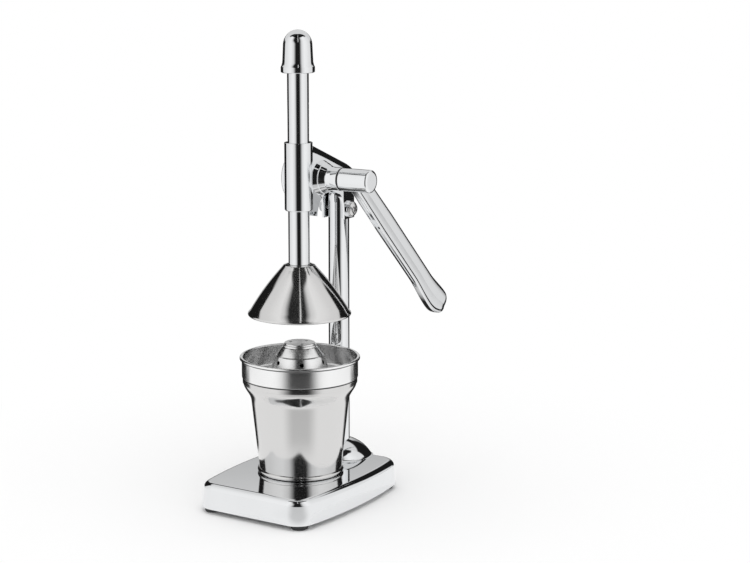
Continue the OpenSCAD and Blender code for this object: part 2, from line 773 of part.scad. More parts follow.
module cup() {
  steps = 8;
  foot_wall = cup_foot - 1.1;
  neck = cup_z + neck_height;
  rise = mouth_z - lip_height - neck;
  placed() color("#e4e6e8") rotate_extrude() union() {
    polygon(concat(
      [[0, cup_z + 1.2], [foot_wall - 1.4, cup_z + 1.2], [foot_wall, cup_z + 2]],
      [for (k = [0:steps]) [shoulder(k / steps), neck + rise * k / steps]],
      [[cup_mouth, neck + rise + lip_roll], [cup_mouth, mouth_z - lip_roll], [cup_mouth - lip_roll, mouth_z],
       [cup_mouth - lip_roll - cup_wall, mouth_z]],
      [for (k = [steps:-1:0]) [shoulder(k / steps) - cup_wall, neck + rise * k / steps]],
      [[foot_wall - cup_wall, cup_z + 3.4], [foot_wall - cup_wall - 1.2, cup_z + 1.2 + cup_wall],
       [0, cup_z + 1.2 + cup_wall]]
    ));
    translate([cup_foot - cup_bead, cup_z + cup_bead]) circle(r = cup_bead);
  }
}

// Upper side of the stepped dome: radius shares of foot and top, height shares
dome_steps = [
  [0, 0], [0.345, 0.439], [0.52, 0.681], [0.588, 0.702], [0.885, 0.899],
  [0.926, 0.917], [0.939, 0.954], [0.993, 0.966], [1, 1]
];
function dome_at(k) = [
  strainer_foot + (strainer_top - strainer_foot) * dome_steps[k][0],
  floor_z + strainer_dome * dome_steps[k][1]
];

module strainer() {
  t = strainer_wall;
  n = len(dome_steps);
  slope_a = dome_at(1);
  slope_b = dome_at(2);
  hole_mid = (slope_a + slope_b) / 2;
  hole_tilt = atan2(slope_a[0] - slope_b[0], slope_b[1] - slope_a[1]);
  floor_mid = (strainer_foot + skirt) / 2;
  placed() color("#cfd1d3") difference() {
    rotate_extrude() union() {
      polygon(concat(
        [[rim_radius - 0.7, rim_z], [rim_radius, rim_z - 0.7], [rim_radius, rim_z - 1.6],
         [rim_radius - 0.6, rim_z - 2.2], [band_radius, rim_z - 2.2],
         [band_radius, band_z], [skirt, band_z], [skirt, floor_z - t],
         [strainer_foot - t * 0.6, floor_z - t]],
        [for (k = [1:n - 2]) dome_at(k) - [t * 1.05, t * 0.55]],
        [[0, strainer_top_z - t], [0, strainer_top_z]],
        [for (k = [n - 1:-1:0]) dome_at(k)],
        [[skirt - t, floor_z], [skirt - t, band_z + t], [band_radius - t, band_z + t],
         [band_radius - t, rim_z - 0.5], [band_radius - t + 0.5, rim_z]]
      ));
    }
    for (a = [-41, 79, 199]) rotate([0, 0, a])
      translate([strainer_top * 0.59, 0, strainer_top_z - 6]) cylinder(h = 10, r = dome_hole * 0.8);
    for (a = [0:60:300]) rotate([0, 0, a - 52])
      translate([hole_mid[0], 0, hole_mid[1]]) rotate([0, 90 - hole_tilt, 0])
        cylinder(h = 6, r = dome_hole, center = true);
    for (k = [0:floor_holes - 1]) rotate([0, 0, 360 * (k + 0.5) / floor_holes])
      translate([floor_mid, 0, floor_z - 5]) cylinder(h = 8, r = dome_hole);
  }
}

base();
foot(-1, -1);  // foot_front_left
foot(1, -1);  // foot_front_right
foot(-1, 1);  // foot_rear_left
foot(1, 1);  // foot_rear_right
foot_screw_piece(-1, -1);  // foot_screw_front_left
foot_screw_piece(1, -1);  // foot_screw_front_right
foot_screw_piece(-1, 1);  // foot_screw_rear_left
foot_screw_piece(1, 1);  // foot_screw_rear_right
column();
column_bolt();
column_washer();
head();
clamp_screw();
clamp_nut();
gear_cover();
cover_screw_piece(0);  // cover_screw_rear
cover_screw_piece(screw_turn);  // cover_screw_upper
cover_screw_piece(2 * screw_turn);  // cover_screw_lower
lever();
pinion_shaft();
pinion();
pinion_pin();
set_screw();
hub_washer();
rod();
cap();
cone();
cone_screw();
cone_washer();
cup();
strainer();
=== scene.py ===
"""Lever citrus juicer: polished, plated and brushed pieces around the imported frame.

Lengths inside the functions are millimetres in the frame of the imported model.
"""

import math

import bpy
from bpy.props import FloatProperty, FloatVectorProperty, PointerProperty
from mathutils import Matrix, Vector


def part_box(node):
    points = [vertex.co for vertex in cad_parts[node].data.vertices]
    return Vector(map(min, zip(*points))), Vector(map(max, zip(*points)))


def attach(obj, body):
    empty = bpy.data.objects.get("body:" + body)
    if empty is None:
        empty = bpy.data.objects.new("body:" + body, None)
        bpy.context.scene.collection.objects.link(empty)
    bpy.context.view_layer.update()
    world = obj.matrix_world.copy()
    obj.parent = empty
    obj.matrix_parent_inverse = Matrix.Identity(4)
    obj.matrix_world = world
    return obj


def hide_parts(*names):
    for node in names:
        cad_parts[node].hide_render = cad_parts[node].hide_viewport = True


bl_info = {
    "name": "Lever citrus juicer",
    "version": (1, 0, 0),
    "blender": (4, 5, 0),
    "location": "3D View > Sidebar > Juicer",
    "description": "Models the visible pieces of a lever citrus juicer around its frame",
    "category": "Object",
}

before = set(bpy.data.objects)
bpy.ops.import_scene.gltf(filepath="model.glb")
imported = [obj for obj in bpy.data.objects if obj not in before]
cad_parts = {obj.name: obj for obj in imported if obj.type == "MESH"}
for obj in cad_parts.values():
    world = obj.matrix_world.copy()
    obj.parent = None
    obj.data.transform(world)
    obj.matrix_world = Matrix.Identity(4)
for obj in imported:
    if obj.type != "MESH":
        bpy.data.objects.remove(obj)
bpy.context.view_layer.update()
MM = 0.001
TURN = 2 * math.pi
HALF_TURN = 180
ROUND_STEPS = 128
SHEET_STEPS = 192
CORNER_STEPS = 6
GUARD = 0.25
LONG_RUN = 3.0

# Places, slopes and lengths in millimetres that several functions share
PLACES = ("front_left", "front_right", "rear_left", "rear_right")
CLAMP_FACE = 12.8
HOUSING_BACK = 13.0
ROOF_SLOPE = math.radians(21.9)
ROOF_TAPER = math.radians(2.77)
ARM_SLOPE = math.radians(43)
ARM_FALL = Vector((0, math.cos(ARM_SLOPE), -math.sin(ARM_SLOPE)))
ARM_UP = Vector((0, math.sin(ARM_SLOPE), math.cos(ARM_SLOPE)))
TIP_RUN = 9
RACK_MODULE = 1.5
CONE_BEAD = 1.4
CONE_SHEET = 1.2
STRAINER_FLOOR = 101.0
STRAINER_GAP = 2.4
REAMER_FOOT = 27.5
SIDE_HOLES = 6
SIDE_HOLE_TURN = math.radians(-52)
SIDE_HOLE_REACH = 20.9
SIDE_HOLE_HEIGHT = 118.7

# Shift of the lens, in widths of the picture
VIEW_SHIFT = (0.1009, 0.0006)


# Sizes and finishes that a user may change


def length(label, says, millimetres):
    """Length that is given in millimetres and kept in metres."""
    return FloatProperty(
        name=label, description=says, default=millimetres * MM, unit="LENGTH", precision=5
    )


def share(label, says, default):
    """Share between none and all."""
    return FloatProperty(
        name=label, description=says, default=default, min=0.0, max=1.0, subtype="FACTOR"
    )


def tint(label, says, default):
    """Colour of a finish."""
    return FloatVectorProperty(
        name=label, description=says, default=default, min=0.0, max=1.0, subtype="COLOR", size=3
    )


def low_mm(node, axis):
    """Low side of a node's box, in millimetres."""
    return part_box(node)[0][axis] / MM


def high_mm(node, axis):
    """High side of a node's box, in millimetres."""
    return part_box(node)[1][axis] / MM


def half_mm(node, axis=0):
    """Half the width of a node's box, in millimetres."""
    return (high_mm(node, axis) - low_mm(node, axis)) / 2


def middle_mm(node, axis):
    """Middle of a node's box, in millimetres."""
    return (high_mm(node, axis) + low_mm(node, axis)) / 2


class JuicerSizes(bpy.types.PropertyGroup):
    """Main sizes of the juicer."""

    press_y: length("Press axis", "Place of the press axis from front to back", middle_mm("cup", 1))
    column_y: length("Column axis", "Place of the column from front to back", middle_mm("column", 1))
    lever_y: length("Lever axis", "Place of the lever axis from front to back", middle_mm("hub_washer", 1))
    lever_z: length("Lever axis height", "Height of the lever axis", middle_mm("hub_washer", 2))
    base_width: length("Base width", "Width across the bowed sides", 2 * half_mm("base"))
    base_length: length("Base length", "Length from front to back", 2 * half_mm("base", 1))
    base_foot: length("Base underside", "Height of the underside of the casting", low_mm("base", 2) + 1.0)
    base_top: length("Base plate", "Height of the top plate", 24.8)
    side_radius: length("Side bow", "Plan radius of the bowed sides", 410)
    corner_radius: length("Corner radius", "Plan radius of the upright corners", 16)
    base_draft: length("Base draft", "Lean of the sides of the base over their height", 1.5)
    top_edge: length("Top edge", "Rounding of the top edge", 5)
    dome_radius: length("Dome radius", "Radius of the domed foot of the column", 32.8)
    dome_fillet: length("Dome fillet", "Hollow rounding between dome and plate", 3)
    foot_radius: length("Foot radius", "Radius of a rubber foot", half_mm("foot_front_left"))
    column_radius: length("Column radius", "Radius of the column", half_mm("column"))
    cup_foot: length("Cup foot", "Outer radius of the foot of the cup", 35.7)
    cup_neck: length("Cup neck", "Radius of the cup at its neck", 40.0)
    cup_neck_z: length("Cup neck height", "Height of the neck of the cup", 84)
    cup_bead: length("Cup bead", "Radius of the foot bead of the cup", 1.9)
    lip_height: length("Cup lip", "Height of the rolled lip at the mouth of the cup", 4.4)
    lip_roll: length("Lip roll", "Step from the flare of the cup out to its lip", 0.6)
    cup_mouth: length("Cup mouth", "Radius of the mouth of the cup", half_mm("cup"))
    sheet: length("Sheet", "Thickness of the pressed steel", 1)
    rim_radius: length("Strainer rim", "Radius of the strainer rim", half_mm("strainer"))
    band_radius: length("Strainer band", "Radius of the strainer band", 47.8)
    hole_radius: length("Strainer holes", "Radius of the holes in the strainer", 1.75)
    cone_radius: length("Cone rim", "Radius of the cone rim", half_mm("cone"))
    cone_top: length("Cone top", "Radius of the flat top of the cone", 11.2)
    cone_swell: length("Cone swell", "Swell of the side of the cone", 1.5)
    rod_radius: length("Rod radius", "Radius of the toothed rod", half_mm("rod"))
    cap_radius: length("Cap radius", "Radius of the cap rim", half_mm("cap"))
    cap_waist: length("Cap waist", "Radius of the cap above its flared rim", 12.3)
    cap_side: length("Cap side", "Radius of the cap at the foot of its dome", 11.75)
    cap_dome: length("Cap dome", "Height of the dome of the cap", 12.3)
    sleeve_radius: length("Sleeve radius", "Radius of the sleeve round the rod", 11.5)
    sleeve_foot: length("Sleeve foot", "Height of the lower end of the sleeve", 242.8)
    sleeve_top: length("Sleeve top", "Height of the upper end of the sleeve", high_mm("head", 2))
    socket_radius: length("Socket radius", "Radius of the socket round the column", 12.4)
    barrel_radius: length("Barrel radius", "Radius of the bearing barrel", 11.4)
    roof_vault: length("Roof radius", "Radius of the round roof at the sleeve", 9.95)
    hood_round: length("Hood rounding", "Side rounding of the hood behind the column", 30)
    hub_radius: length("Hub radius", "Radius of the lever hub", 9.3)
    arm_length: length("Arm length", "Length of the lever from its axis", 191)
    arm_half: length("Arm half width", "Half width of the lever arm", 10.3)
    arm_flare: length("Arm flare", "Half width of the lever end", 13.0)
    arm_thick: length("Arm thickness", "Thickness of the lever arm", 7)


class JuicerFinishes(bpy.types.PropertyGroup):
    """Colours and gloss of the juicer's finishes."""

    chrome: tint("Chrome", "Colour of the chrome plate", (0.84, 0.85, 0.86))
    sheet_steel: tint("Polished steel", "Colour of the polished sheet steel", (0.72, 0.715, 0.71))
    brushed_steel: tint("Brushed steel", "Colour of the brushed sheet steel", (0.92, 0.92, 0.92))
    screw_steel: tint("Screw steel", "Colour of screws and nuts", (0.56, 0.57, 0.58))
    gear_steel: tint("Gear steel", "Colour of the machined gear", (0.45, 0.45, 0.44))
    rubber: tint("Rubber", "Colour of the feet", (0.022, 0.022, 0.024))
    seal: tint("Seal", "Colour of the hub washer", (0.02, 0.02, 0.021))
    chrome_gloss: share("Chrome roughness", "Roughness of the chrome plate", 0.045)
    sheet_gloss: share("Polished roughness", "Roughness of the polished sheet steel", 0.12)
    brushed_gloss: share("Brushed roughness", "Roughness of the brushed sheet steel", 0.18)


class JuicerStage(bpy.types.PropertyGroup):
    """Camera and light tent."""

    view_turn: FloatProperty(
        name="View turn", description="Turn of the camera round the press axis",
        default=math.radians(34.099), subtype="ANGLE",
    )
    view_tilt: FloatProperty(
        name="View tilt", description="Tilt of the camera below the horizon",
        default=math.radians(11.021), subtype="ANGLE",
    )
    view_roll: FloatProperty(
        name="View roll", description="Roll of the camera",
        default=math.radians(-0.402), subtype="ANGLE",
    )
    view_reach: length("View distance", "Level distance from camera to press axis", 1473.36)
    view_height: length("View height", "Height of the camera", 470.8)
    lens: FloatProperty(
        name="Lens", description="Focal length of the camera", default=88.42, subtype="DISTANCE_CAMERA"
    )
    tent_radius: length("Tent radius", "Radius of the light tent", 500)
    tent_height: length("Tent height", "Height of the light tent", 1600)
    dark: share("Flag", "Brightness of the dark flags", 0.012)
    floor_shade: tint("Floor", "Colour of the floor", (0.95, 0.95, 0.95))


class Millimetres:
    """Reads a group of lengths in millimetres."""

    def __init__(self, group):
        self.group = group

    def __getattr__(self, name):
        return getattr(self.group, name) / MM


def sizes():
    """Sizes of the juicer, in millimetres."""
    return Millimetres(bpy.context.scene.juicer_sizes)


def finishes():
    """Colours and gloss of the juicer."""
    return bpy.context.scene.juicer_finishes


# Modelling steps


def set_mode(mode):
    """Changes the mode of the active object where it differs."""
    if bpy.context.object is not None and bpy.context.object.mode != mode:
        bpy.ops.object.mode_set(mode=mode)


def activate(obj):
    """Makes one object the only selected and the active one."""
    set_mode("OBJECT")
    bpy.ops.object.select_all(action="DESELECT")
    bpy.context.view_layer.objects.active = obj
    obj.select_set(True)


def primitive(add, name, **how):
    """Adds a primitive with its place in its mesh."""
    set_mode("OBJECT")
    bpy.ops.object.select_all(action="DESELECT")
    add(**how)
    obj = bpy.context.object
    obj.name = obj.data.name = name
    bpy.ops.object.transform_apply(location=True, rotation=True, scale=True)
    return obj


def block(name, low, high):
    """Block between two corners."""
    low, high = Vector(low), Vector(high)
    return primitive(
        bpy.ops.mesh.primitive_cube_add, name, size=1.0,
        location=(low + high) / 2 * MM, scale=(high - low) * MM,
    )


def bar(name, start, end, radius, steps=ROUND_STEPS):
    """Round bar between two points."""
    start, end = Vector(start), Vector(end)
    turn = Vector((0, 0, 1)).rotation_difference(end - start).to_euler()
    return primitive(
        bpy.ops.mesh.primitive_cone_add, name, vertices=steps, radius1=radius * MM, radius2=radius * MM,
        depth=(end - start).length * MM, location=(start + end) / 2 * MM, rotation=turn,
    )


def chain(name, points, closed=False):
    """Line of edges, grown point by point from one corner."""
    points = [Vector(p) for p in points]
    if closed:
        points.append(points[0])
    obj = primitive(
        bpy.ops.mesh.primitive_plane_add, name, size=MM, location=points[0] * MM
    )
    set_mode("EDIT")
    bpy.ops.mesh.select_mode(type="VERT")
    bpy.ops.mesh.select_all(action="SELECT")
    bpy.ops.mesh.merge(type="CENTER")
    for a, b in zip(points, points[1:]):
        bpy.ops.mesh.extrude_vertices_move(TRANSFORM_OT_translate={"value": (b - a) * MM})
    bpy.ops.mesh.select_all(action="SELECT")
    bpy.ops.mesh.remove_doubles(threshold=1e-7)
    return obj


def even_normals():
    """Merges doubled points, turns all faces outwards and ends the editing."""
    bpy.ops.mesh.select_all(action="SELECT")
    bpy.ops.mesh.remove_doubles(threshold=1e-7)
    bpy.ops.mesh.normals_make_consistent(inside=False)
    set_mode("OBJECT")


def plate(name, outline, along):
    """Filled outline drawn out along a direction."""
    obj = chain(name, outline, closed=True)
    bpy.ops.mesh.edge_face_add()
    bpy.ops.mesh.extrude_region_move(TRANSFORM_OT_translate={"value": Vector(along) * MM})
    even_normals()
    return obj


def lathe(name, profile, centre, closed=False, across=False, steps=ROUND_STEPS):
    """Spins (radius, height) points about an upright axis, or about one across the juicer."""
    if across:
        points = [(h, centre[0], centre[1] + r) for r, h in profile]
        middle, axis = Vector((0, centre[0], centre[1])), (1, 0, 0)
    else:
        points = [(centre[0] + r, centre[1], h) for r, h in profile]
        middle, axis = Vector((centre[0], centre[1], 0)), (0, 0, 1)
    obj = chain(name, points, closed)
    bpy.ops.mesh.spin(
        steps=steps, angle=TURN, use_auto_merge=True, center=middle * MM, axis=axis
    )
    even_normals()
    return obj


def rounded(corners, closed=False, steps=CORNER_STEPS):
    """Profile through (radius, height, rounding) corners, with guard points at both ends of long runs."""
    points = []
    count = len(corners)
    for i, (r, h, fillet) in enumerate(corners):
        here = Vector((r, h))
        if fillet <= 0 or (not closed and i in (0, count - 1)):
            points.append((r, h))
            continue
        back = Vector(corners[i - 1][:2]) - here
        ahead = Vector(corners[(i + 1) % count][:2]) - here
        bend = back.angle(ahead)
        reach = min(fillet / math.tan(bend / 2), 0.49 * back.length, 0.49 * ahead.length)
        fillet = reach * math.tan(bend / 2)
        start = here + back.normalized() * reach
        end = here + ahead.normalized() * reach
        inwards = (back.normalized() + ahead.normalized()).normalized()
        middle = here + inwards * (fillet / math.sin(bend / 2))
        a = math.atan2(start.y - middle.y, start.x - middle.x)
        b = math.atan2(end.y - middle.y, end.x - middle.x)
        swing = (b - a + math.pi) % TURN - math.pi
        for k in range(steps + 1):
            t = a + swing * k / steps
            points.append((middle.x + fillet * math.cos(t), middle.y + fillet * math.sin(t)))
    guarded = points[:1]
    for a, b in zip(points, points[1:]):
        run = math.dist(a, b)
        if run > LONG_RUN:
            inset = GUARD / run
            guarded += [tuple(p + (q - p) * t for p, q in zip(a, b)) for t in (inset, 1 - inset)]
        guarded.append(b)
    return guarded


def arc(centre, radius, start, end, steps):
    """Points on an arc between two angles in degrees."""
    angles = [math.radians(start + (end - start) * k / steps) for k in range(steps + 1)]
    return [(centre[0] + radius * math.cos(a), centre[1] + radius * math.sin(a)) for a in angles]


def combine(target, operation, tool):
    """Joins, cuts or crops a solid with another, which is then gone."""
    activate(target)
    step = target.modifiers.new(tool.name, "BOOLEAN")
    step.operation = operation
    step.solver = "EXACT"
    step.object = tool
    bpy.ops.object.modifier_apply(modifier=step.name)
    bpy.data.meshes.remove(tool.data)
    return target


def dress(obj, body, finish, cad, crease=32):
    """Smooths a finished solid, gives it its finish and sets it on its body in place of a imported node."""
    activate(obj)
    bpy.ops.object.shade_smooth_by_angle(angle=math.radians(crease))
    step = obj.modifiers.new("even", "WEIGHTED_NORMAL")
    step.keep_sharp = True
    step.weight = 50
    bpy.ops.object.modifier_apply(modifier=step.name)
    obj.data.materials.clear()
    obj.data.materials.append(finish)
    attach(obj, body)
    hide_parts(cad)


# Finishes


def shader(name):
    """New finish with an empty surface, as finish, tree and surface."""
    finish = bpy.data.materials.get(name) or bpy.data.materials.new(name)
    finish.use_nodes = True
    tree = finish.node_tree
    tree.nodes.clear()
    surface = tree.nodes.new("ShaderNodeBsdfPrincipled")
    out = tree.nodes.new("ShaderNodeOutputMaterial")
    tree.links.new(surface.outputs["BSDF"], out.inputs["Surface"])
    return finish, tree, surface


def node(tree, kind, **values):
    """Node with its inputs and settings given by name."""
    made = tree.nodes.new(kind)
    for name, value in values.items():
        if name in made.inputs:
            made.inputs[name].default_value = value
        else:
            setattr(made, name, value)
    return made


def place_on(tree, centre):
    """Object coordinates in metres, counted from a point."""
    where = node(tree, "ShaderNodeTexCoord")
    shift = node(tree, "ShaderNodeMapping", Location=[-c * MM for c in centre])
    tree.links.new(where.outputs["Object"], shift.inputs["Vector"])
    return shift.outputs["Vector"]


def noise(tree, vector, scale, detail=3.0, rough=0.55):
    """Cloudy pattern at a place."""
    made = node(tree, "ShaderNodeTexNoise", Scale=scale, Detail=detail, Roughness=rough)
    tree.links.new(vector, made.inputs["Vector"])
    return made.outputs["Fac"]


def calculate(tree, operation, *values):
    """One step of arithmetic on values or numbers."""
    made = node(tree, "ShaderNodeMath", operation=operation)
    for socket, value in zip(made.inputs, values):
        if isinstance(value, float):
            socket.default_value = value
        else:
            tree.links.new(value, socket)
    return made.outputs["Value"]


def gather(tree, operation, first, *others):
    """Adds or multiplies several values, or takes their largest."""
    for other in others:
        first = calculate(tree, operation, first, other)
    return first


def ramp_line(tree, value, start, end, low, high, kind="LINEAR"):
    """Change of a value from one place to another, straight unless another kind is given."""
    made = node(tree, "ShaderNodeMapRange", interpolation_type=kind)
    for name, amount in zip(("From Min", "From Max", "To Min", "To Max"), (start, end, low, high)):
        made.inputs[name].default_value = amount
    tree.links.new(value, made.inputs["Value"])
    return made.outputs["Result"]


def between(tree, value, start, end, low=0.0, high=1.0):
    """Soft step of a value from one place to another."""
    return ramp_line(tree, value, start, end, low, high, "SMOOTHSTEP")


def spread(tree, value, low, high):
    """Carries a texture value from its middle range to a span of values."""
    return ramp_line(tree, value, 0.3, 0.7, low, high)


def raised(tree, height, strength, distance):
    """Surface direction that follows a fine relief."""
    made = node(tree, "ShaderNodeBump", Strength=strength, Distance=distance)
    tree.links.new(height, made.inputs["Height"])
    return made.outputs["Normal"]


def shaded(tree, value, colour, change):
    """Colour that varies a little with a texture value."""
    made = node(tree, "ShaderNodeMix", data_type="RGBA")
    made.inputs[6].default_value = (*[c * (1 - change) for c in colour], 1)
    made.inputs[7].default_value = (*[min(1, c * (1 + change)) for c in colour], 1)
    tree.links.new(value, made.inputs["Factor"])
    return made.outputs[2]


def chrome_finish(name, wave):
    """Chrome plate: mirror gloss with faint wipe marks and a slight wave from polishing."""
    finish, tree, surface = shader(name)
    look = finishes()
    spot = place_on(tree, (0, 0, 0))
    wipes = noise(tree, spot, 260, 5.0, 0.7)
    surface.inputs["Metallic"].default_value = 1.0
    tree.links.new(shaded(tree, noise(tree, spot, 45), look.chrome, 0.025), surface.inputs["Base Color"])
    gloss = look.chrome_gloss
    tree.links.new(spread(tree, wipes, gloss * 0.7, gloss * 1.5), surface.inputs["Roughness"])
    if wave > 0:
        tree.links.new(raised(tree, noise(tree, spot, 38, 1.0), wave, 0.0004), surface.inputs["Normal"])
    return finish


def turned_finish(name, colour, gloss, centre, lines, grain, painted_shade=None):
    """Spun sheet steel: fine rings round the axis in gloss and in height, with painted shade where a given
    function asks for it.
    """
    finish, tree, surface = shader(name)
    spot = place_on(tree, centre)
    parts = node(tree, "ShaderNodeSeparateXYZ")
    tree.links.new(spot, parts.inputs["Vector"])
    flat = node(tree, "ShaderNodeCombineXYZ")
    tree.links.new(parts.outputs["X"], flat.inputs["X"])
    tree.links.new(parts.outputs["Y"], flat.inputs["Y"])
    radius = node(tree, "ShaderNodeVectorMath", operation="LENGTH")
    tree.links.new(flat.outputs["Vector"], radius.inputs[0])
    ring = node(tree, "ShaderNodeCombineXYZ")
    tree.links.new(radius.outputs["Value"], ring.inputs["X"])
    tree.links.new(parts.outputs["Z"], ring.inputs["Y"])
    drift = node(tree, "ShaderNodeMapping", Scale=(0.012, 0.012, 0.0))
    tree.links.new(flat.outputs["Vector"], drift.inputs["Vector"])
    along = node(tree, "ShaderNodeVectorMath", operation="ADD")
    tree.links.new(ring.outputs["Vector"], along.inputs[0])
    tree.links.new(drift.outputs["Vector"], along.inputs[1])
    rings = noise(tree, along.outputs["Vector"], lines, 4.0, 0.65)
    surface.inputs["Metallic"].default_value = 1.0
    surface.inputs["Anisotropic"].default_value = 0.45 * grain
    surface.inputs["Anisotropic Rotation"].default_value = 0.25
    steel = shaded(tree, rings, colour, 0.05 * grain)
    rough = spread(tree, rings, gloss * 0.8, gloss * 1.25)
    # Painted shade: the colour is mixed towards near black by the given mask, and the second value scales the
    # roughness.
    if painted_shade:
        painted_dark, matt = painted_shade(tree, parts.outputs, radius.outputs["Value"])
        tone = node(tree, "ShaderNodeMix", data_type="RGBA")
        tone.inputs[7].default_value = (0.03, 0.03, 0.031, 1)
        tree.links.new(steel, tone.inputs[6])
        tree.links.new(painted_dark, tone.inputs["Factor"])
        steel = tone.outputs[2]
        rough = calculate(tree, "MULTIPLY", rough, matt)
    tree.links.new(steel, surface.inputs["Base Color"])
    tree.links.new(rough, surface.inputs["Roughness"])
    tree.links.new(raised(tree, rings, 0.12 * grain, 0.00003), surface.inputs["Normal"])
    return finish


def strainer_painted_shade(tree, place, radius):
    """Painted shade in the bowl, on the underside and at the edges of the side holes, and how much more matt
    the middle is than the bowl.
    """
    s = sizes()
    middle_edge = [(REAMER_FOOT + side) * MM for side in (-1, 1)]
    band_edge = [(s.band_radius - inside) * MM for inside in (0.6, 0.4)]
    # Painted shade in the bowl between the reamer and the band.
    bowl = between(tree, radius, *middle_edge, 0.0, 0.15)
    bowl = calculate(tree, "MULTIPLY", bowl, between(tree, radius, *band_edge, 1.0, 0.0))
    # Painted shade on every face that looks down, such as the underside of the dome.
    facing = node(tree, "ShaderNodeSeparateXYZ")
    tree.links.new(node(tree, "ShaderNodeTexCoord").outputs["Normal"], facing.inputs["Vector"])
    under = between(tree, facing.outputs["Z"], -0.25, -0.05, 0.9, 0.0)
    # Painted shadow at the edges of the side holes.
    half_step = TURN / SIDE_HOLES / 2
    turn = calculate(tree, "SUBTRACT", calculate(tree, "ARCTAN2", place["Y"], place["X"]), SIDE_HOLE_TURN)
    turn = calculate(tree, "WRAP", turn, half_step, -half_step)
    away = [
        calculate(tree, "MULTIPLY", turn, radius),
        calculate(tree, "SUBTRACT", radius, SIDE_HOLE_REACH * MM),
        calculate(tree, "SUBTRACT", place["Z"], SIDE_HOLE_HEIGHT * MM),
    ]
    reach = calculate(tree, "SQRT", gather(tree, "ADD", *[calculate(tree, "MULTIPLY", a, a) for a in away]))
    edge = (s.hole_radius + 0.03) * MM
    hole = between(tree, reach, edge, edge + 0.0001, 0.97, 0.0)
    return gather(tree, "MAXIMUM", bowl, under, hole), between(tree, radius, *middle_edge, 1.35, 1.0)


def steel_finish(name, colour, gloss):
    """Zinc plated or machined steel with a fine mottle."""
    finish, tree, surface = shader(name)
    spot = place_on(tree, (0, 0, 0))
    mottle = noise(tree, spot, 900, 4.0, 0.6)
    surface.inputs["Metallic"].default_value = 1.0
    tree.links.new(shaded(tree, mottle, colour, 0.12), surface.inputs["Base Color"])
    tree.links.new(spread(tree, mottle, gloss * 0.75, gloss * 1.3), surface.inputs["Roughness"])
    tree.links.new(raised(tree, mottle, 0.08, 0.00004), surface.inputs["Normal"])
    return finish


def rubber_finish(name, colour, gloss):
    """Moulded rubber or plastic with a matt grain and a little dust."""
    finish, tree, surface = shader(name)
    spot = place_on(tree, (0, 0, 0))
    grain = noise(tree, spot, 1400, 3.0)
    dust = noise(tree, spot, 220, 4.0, 0.7)
    tree.links.new(shaded(tree, dust, colour, 0.3), surface.inputs["Base Color"])
    tree.links.new(spread(tree, grain, gloss * 0.85, gloss * 1.15), surface.inputs["Roughness"])
    tree.links.new(raised(tree, grain, 0.25, 0.00008), surface.inputs["Normal"])
    return finish


def make_finishes():
    """All finishes of the juicer by their short names."""
    look = finishes()
    press = (0, sizes().press_y, 0)
    steel, gloss = look.sheet_steel, look.sheet_gloss
    return {
        "cast": chrome_finish("cast_chrome_plate", 0.018),
        "bar": chrome_finish("bar_chrome_plate", 0.0),
        "cup": turned_finish("cup_polished_steel", steel, gloss, press, 2500, 0.3),
        "cone": turned_finish("cone_polished_steel", steel, gloss * 0.75, press, 2500, 0.25),
        # The strainer's steel carries painted shade in its bowl, underneath and at its side holes.
        "strainer": turned_finish(
            "strainer_brushed_steel", look.brushed_steel, look.brushed_gloss, press, 4000, 1.0, strainer_painted_shade
        ),
        "screw": steel_finish("zinc_plated_steel", look.screw_steel, 0.3),
        "bright": steel_finish("bright_screw_steel", steel, 0.2),
        "gear": steel_finish("machined_gear_steel", look.gear_steel, 0.35),
        "rubber": rubber_finish("foot_rubber", look.rubber, 0.55),
        "seal": rubber_finish("seal_plastic", look.seal, 0.4),
    }


FINISH = {}


def finish_of(name):
    """Finish by its short name; all are made at the first call."""
    if not FINISH:
        FINISH.update(make_finishes())
    return FINISH[name]


# Pieces


def base_outline():
    """Plan of the base: bowed long sides, straight ends, round corners."""
    s = sizes()
    half_w, half_l = s.base_width / 2, s.base_length / 2
    bow_x = half_w - s.side_radius
    corner_y = half_l - s.corner_radius
    corner_x = bow_x + math.sqrt((s.side_radius - s.corner_radius) ** 2 - corner_y ** 2)
    lean = math.degrees(math.atan2(corner_y, corner_x - bow_x))
    quarter = arc((bow_x, 0), s.side_radius, 0, lean, 8)
    quarter += arc((corner_x, corner_y), s.corner_radius, lean, 90, 16)[1:]
    half = quarter + [(-x, y) for x, y in reversed(quarter)]
    loop = half + [(-x, -y) for x, y in half[1:-1]]
    return [(x, s.press_y + y, s.base_foot) for x, y in loop]


def base_pocket(side, end):
    """One of the four pockets under the plate, clear of its foot boss and of the column seat."""
    s = sizes()
    wall, half_rib = 5.0, 1.5
    wide, deep = s.base_width / 2 - 10.2, s.base_length / 2 - 18
    foot_x, foot_y = middle_mm("foot_rear_right", 0), middle_mm("foot_rear_right", 1) - s.press_y

    def room(name, far_x, near_y, far_y):
        xs = sorted((side * half_rib, side * far_x))
        ys = sorted((s.press_y + end * near_y, s.press_y + end * far_y))
        return block(name, (xs[0], ys[0], 0), (xs[1], ys[1], s.base_top - wall))

    pocket = room("pocket", wide, half_rib, deep)
    combine(pocket, "UNION", room("end", 35, 40, s.base_length / 2 - wall))
    boss = (side * foot_x, s.press_y + end * foot_y)
    combine(pocket, "DIFFERENCE", bar("boss", (*boss, -5), (*boss, 30), s.foot_radius + 1.5))
    return combine(pocket, "DIFFERENCE", bar("seat", (0, s.column_y, -5), (0, s.column_y, 30), 15))


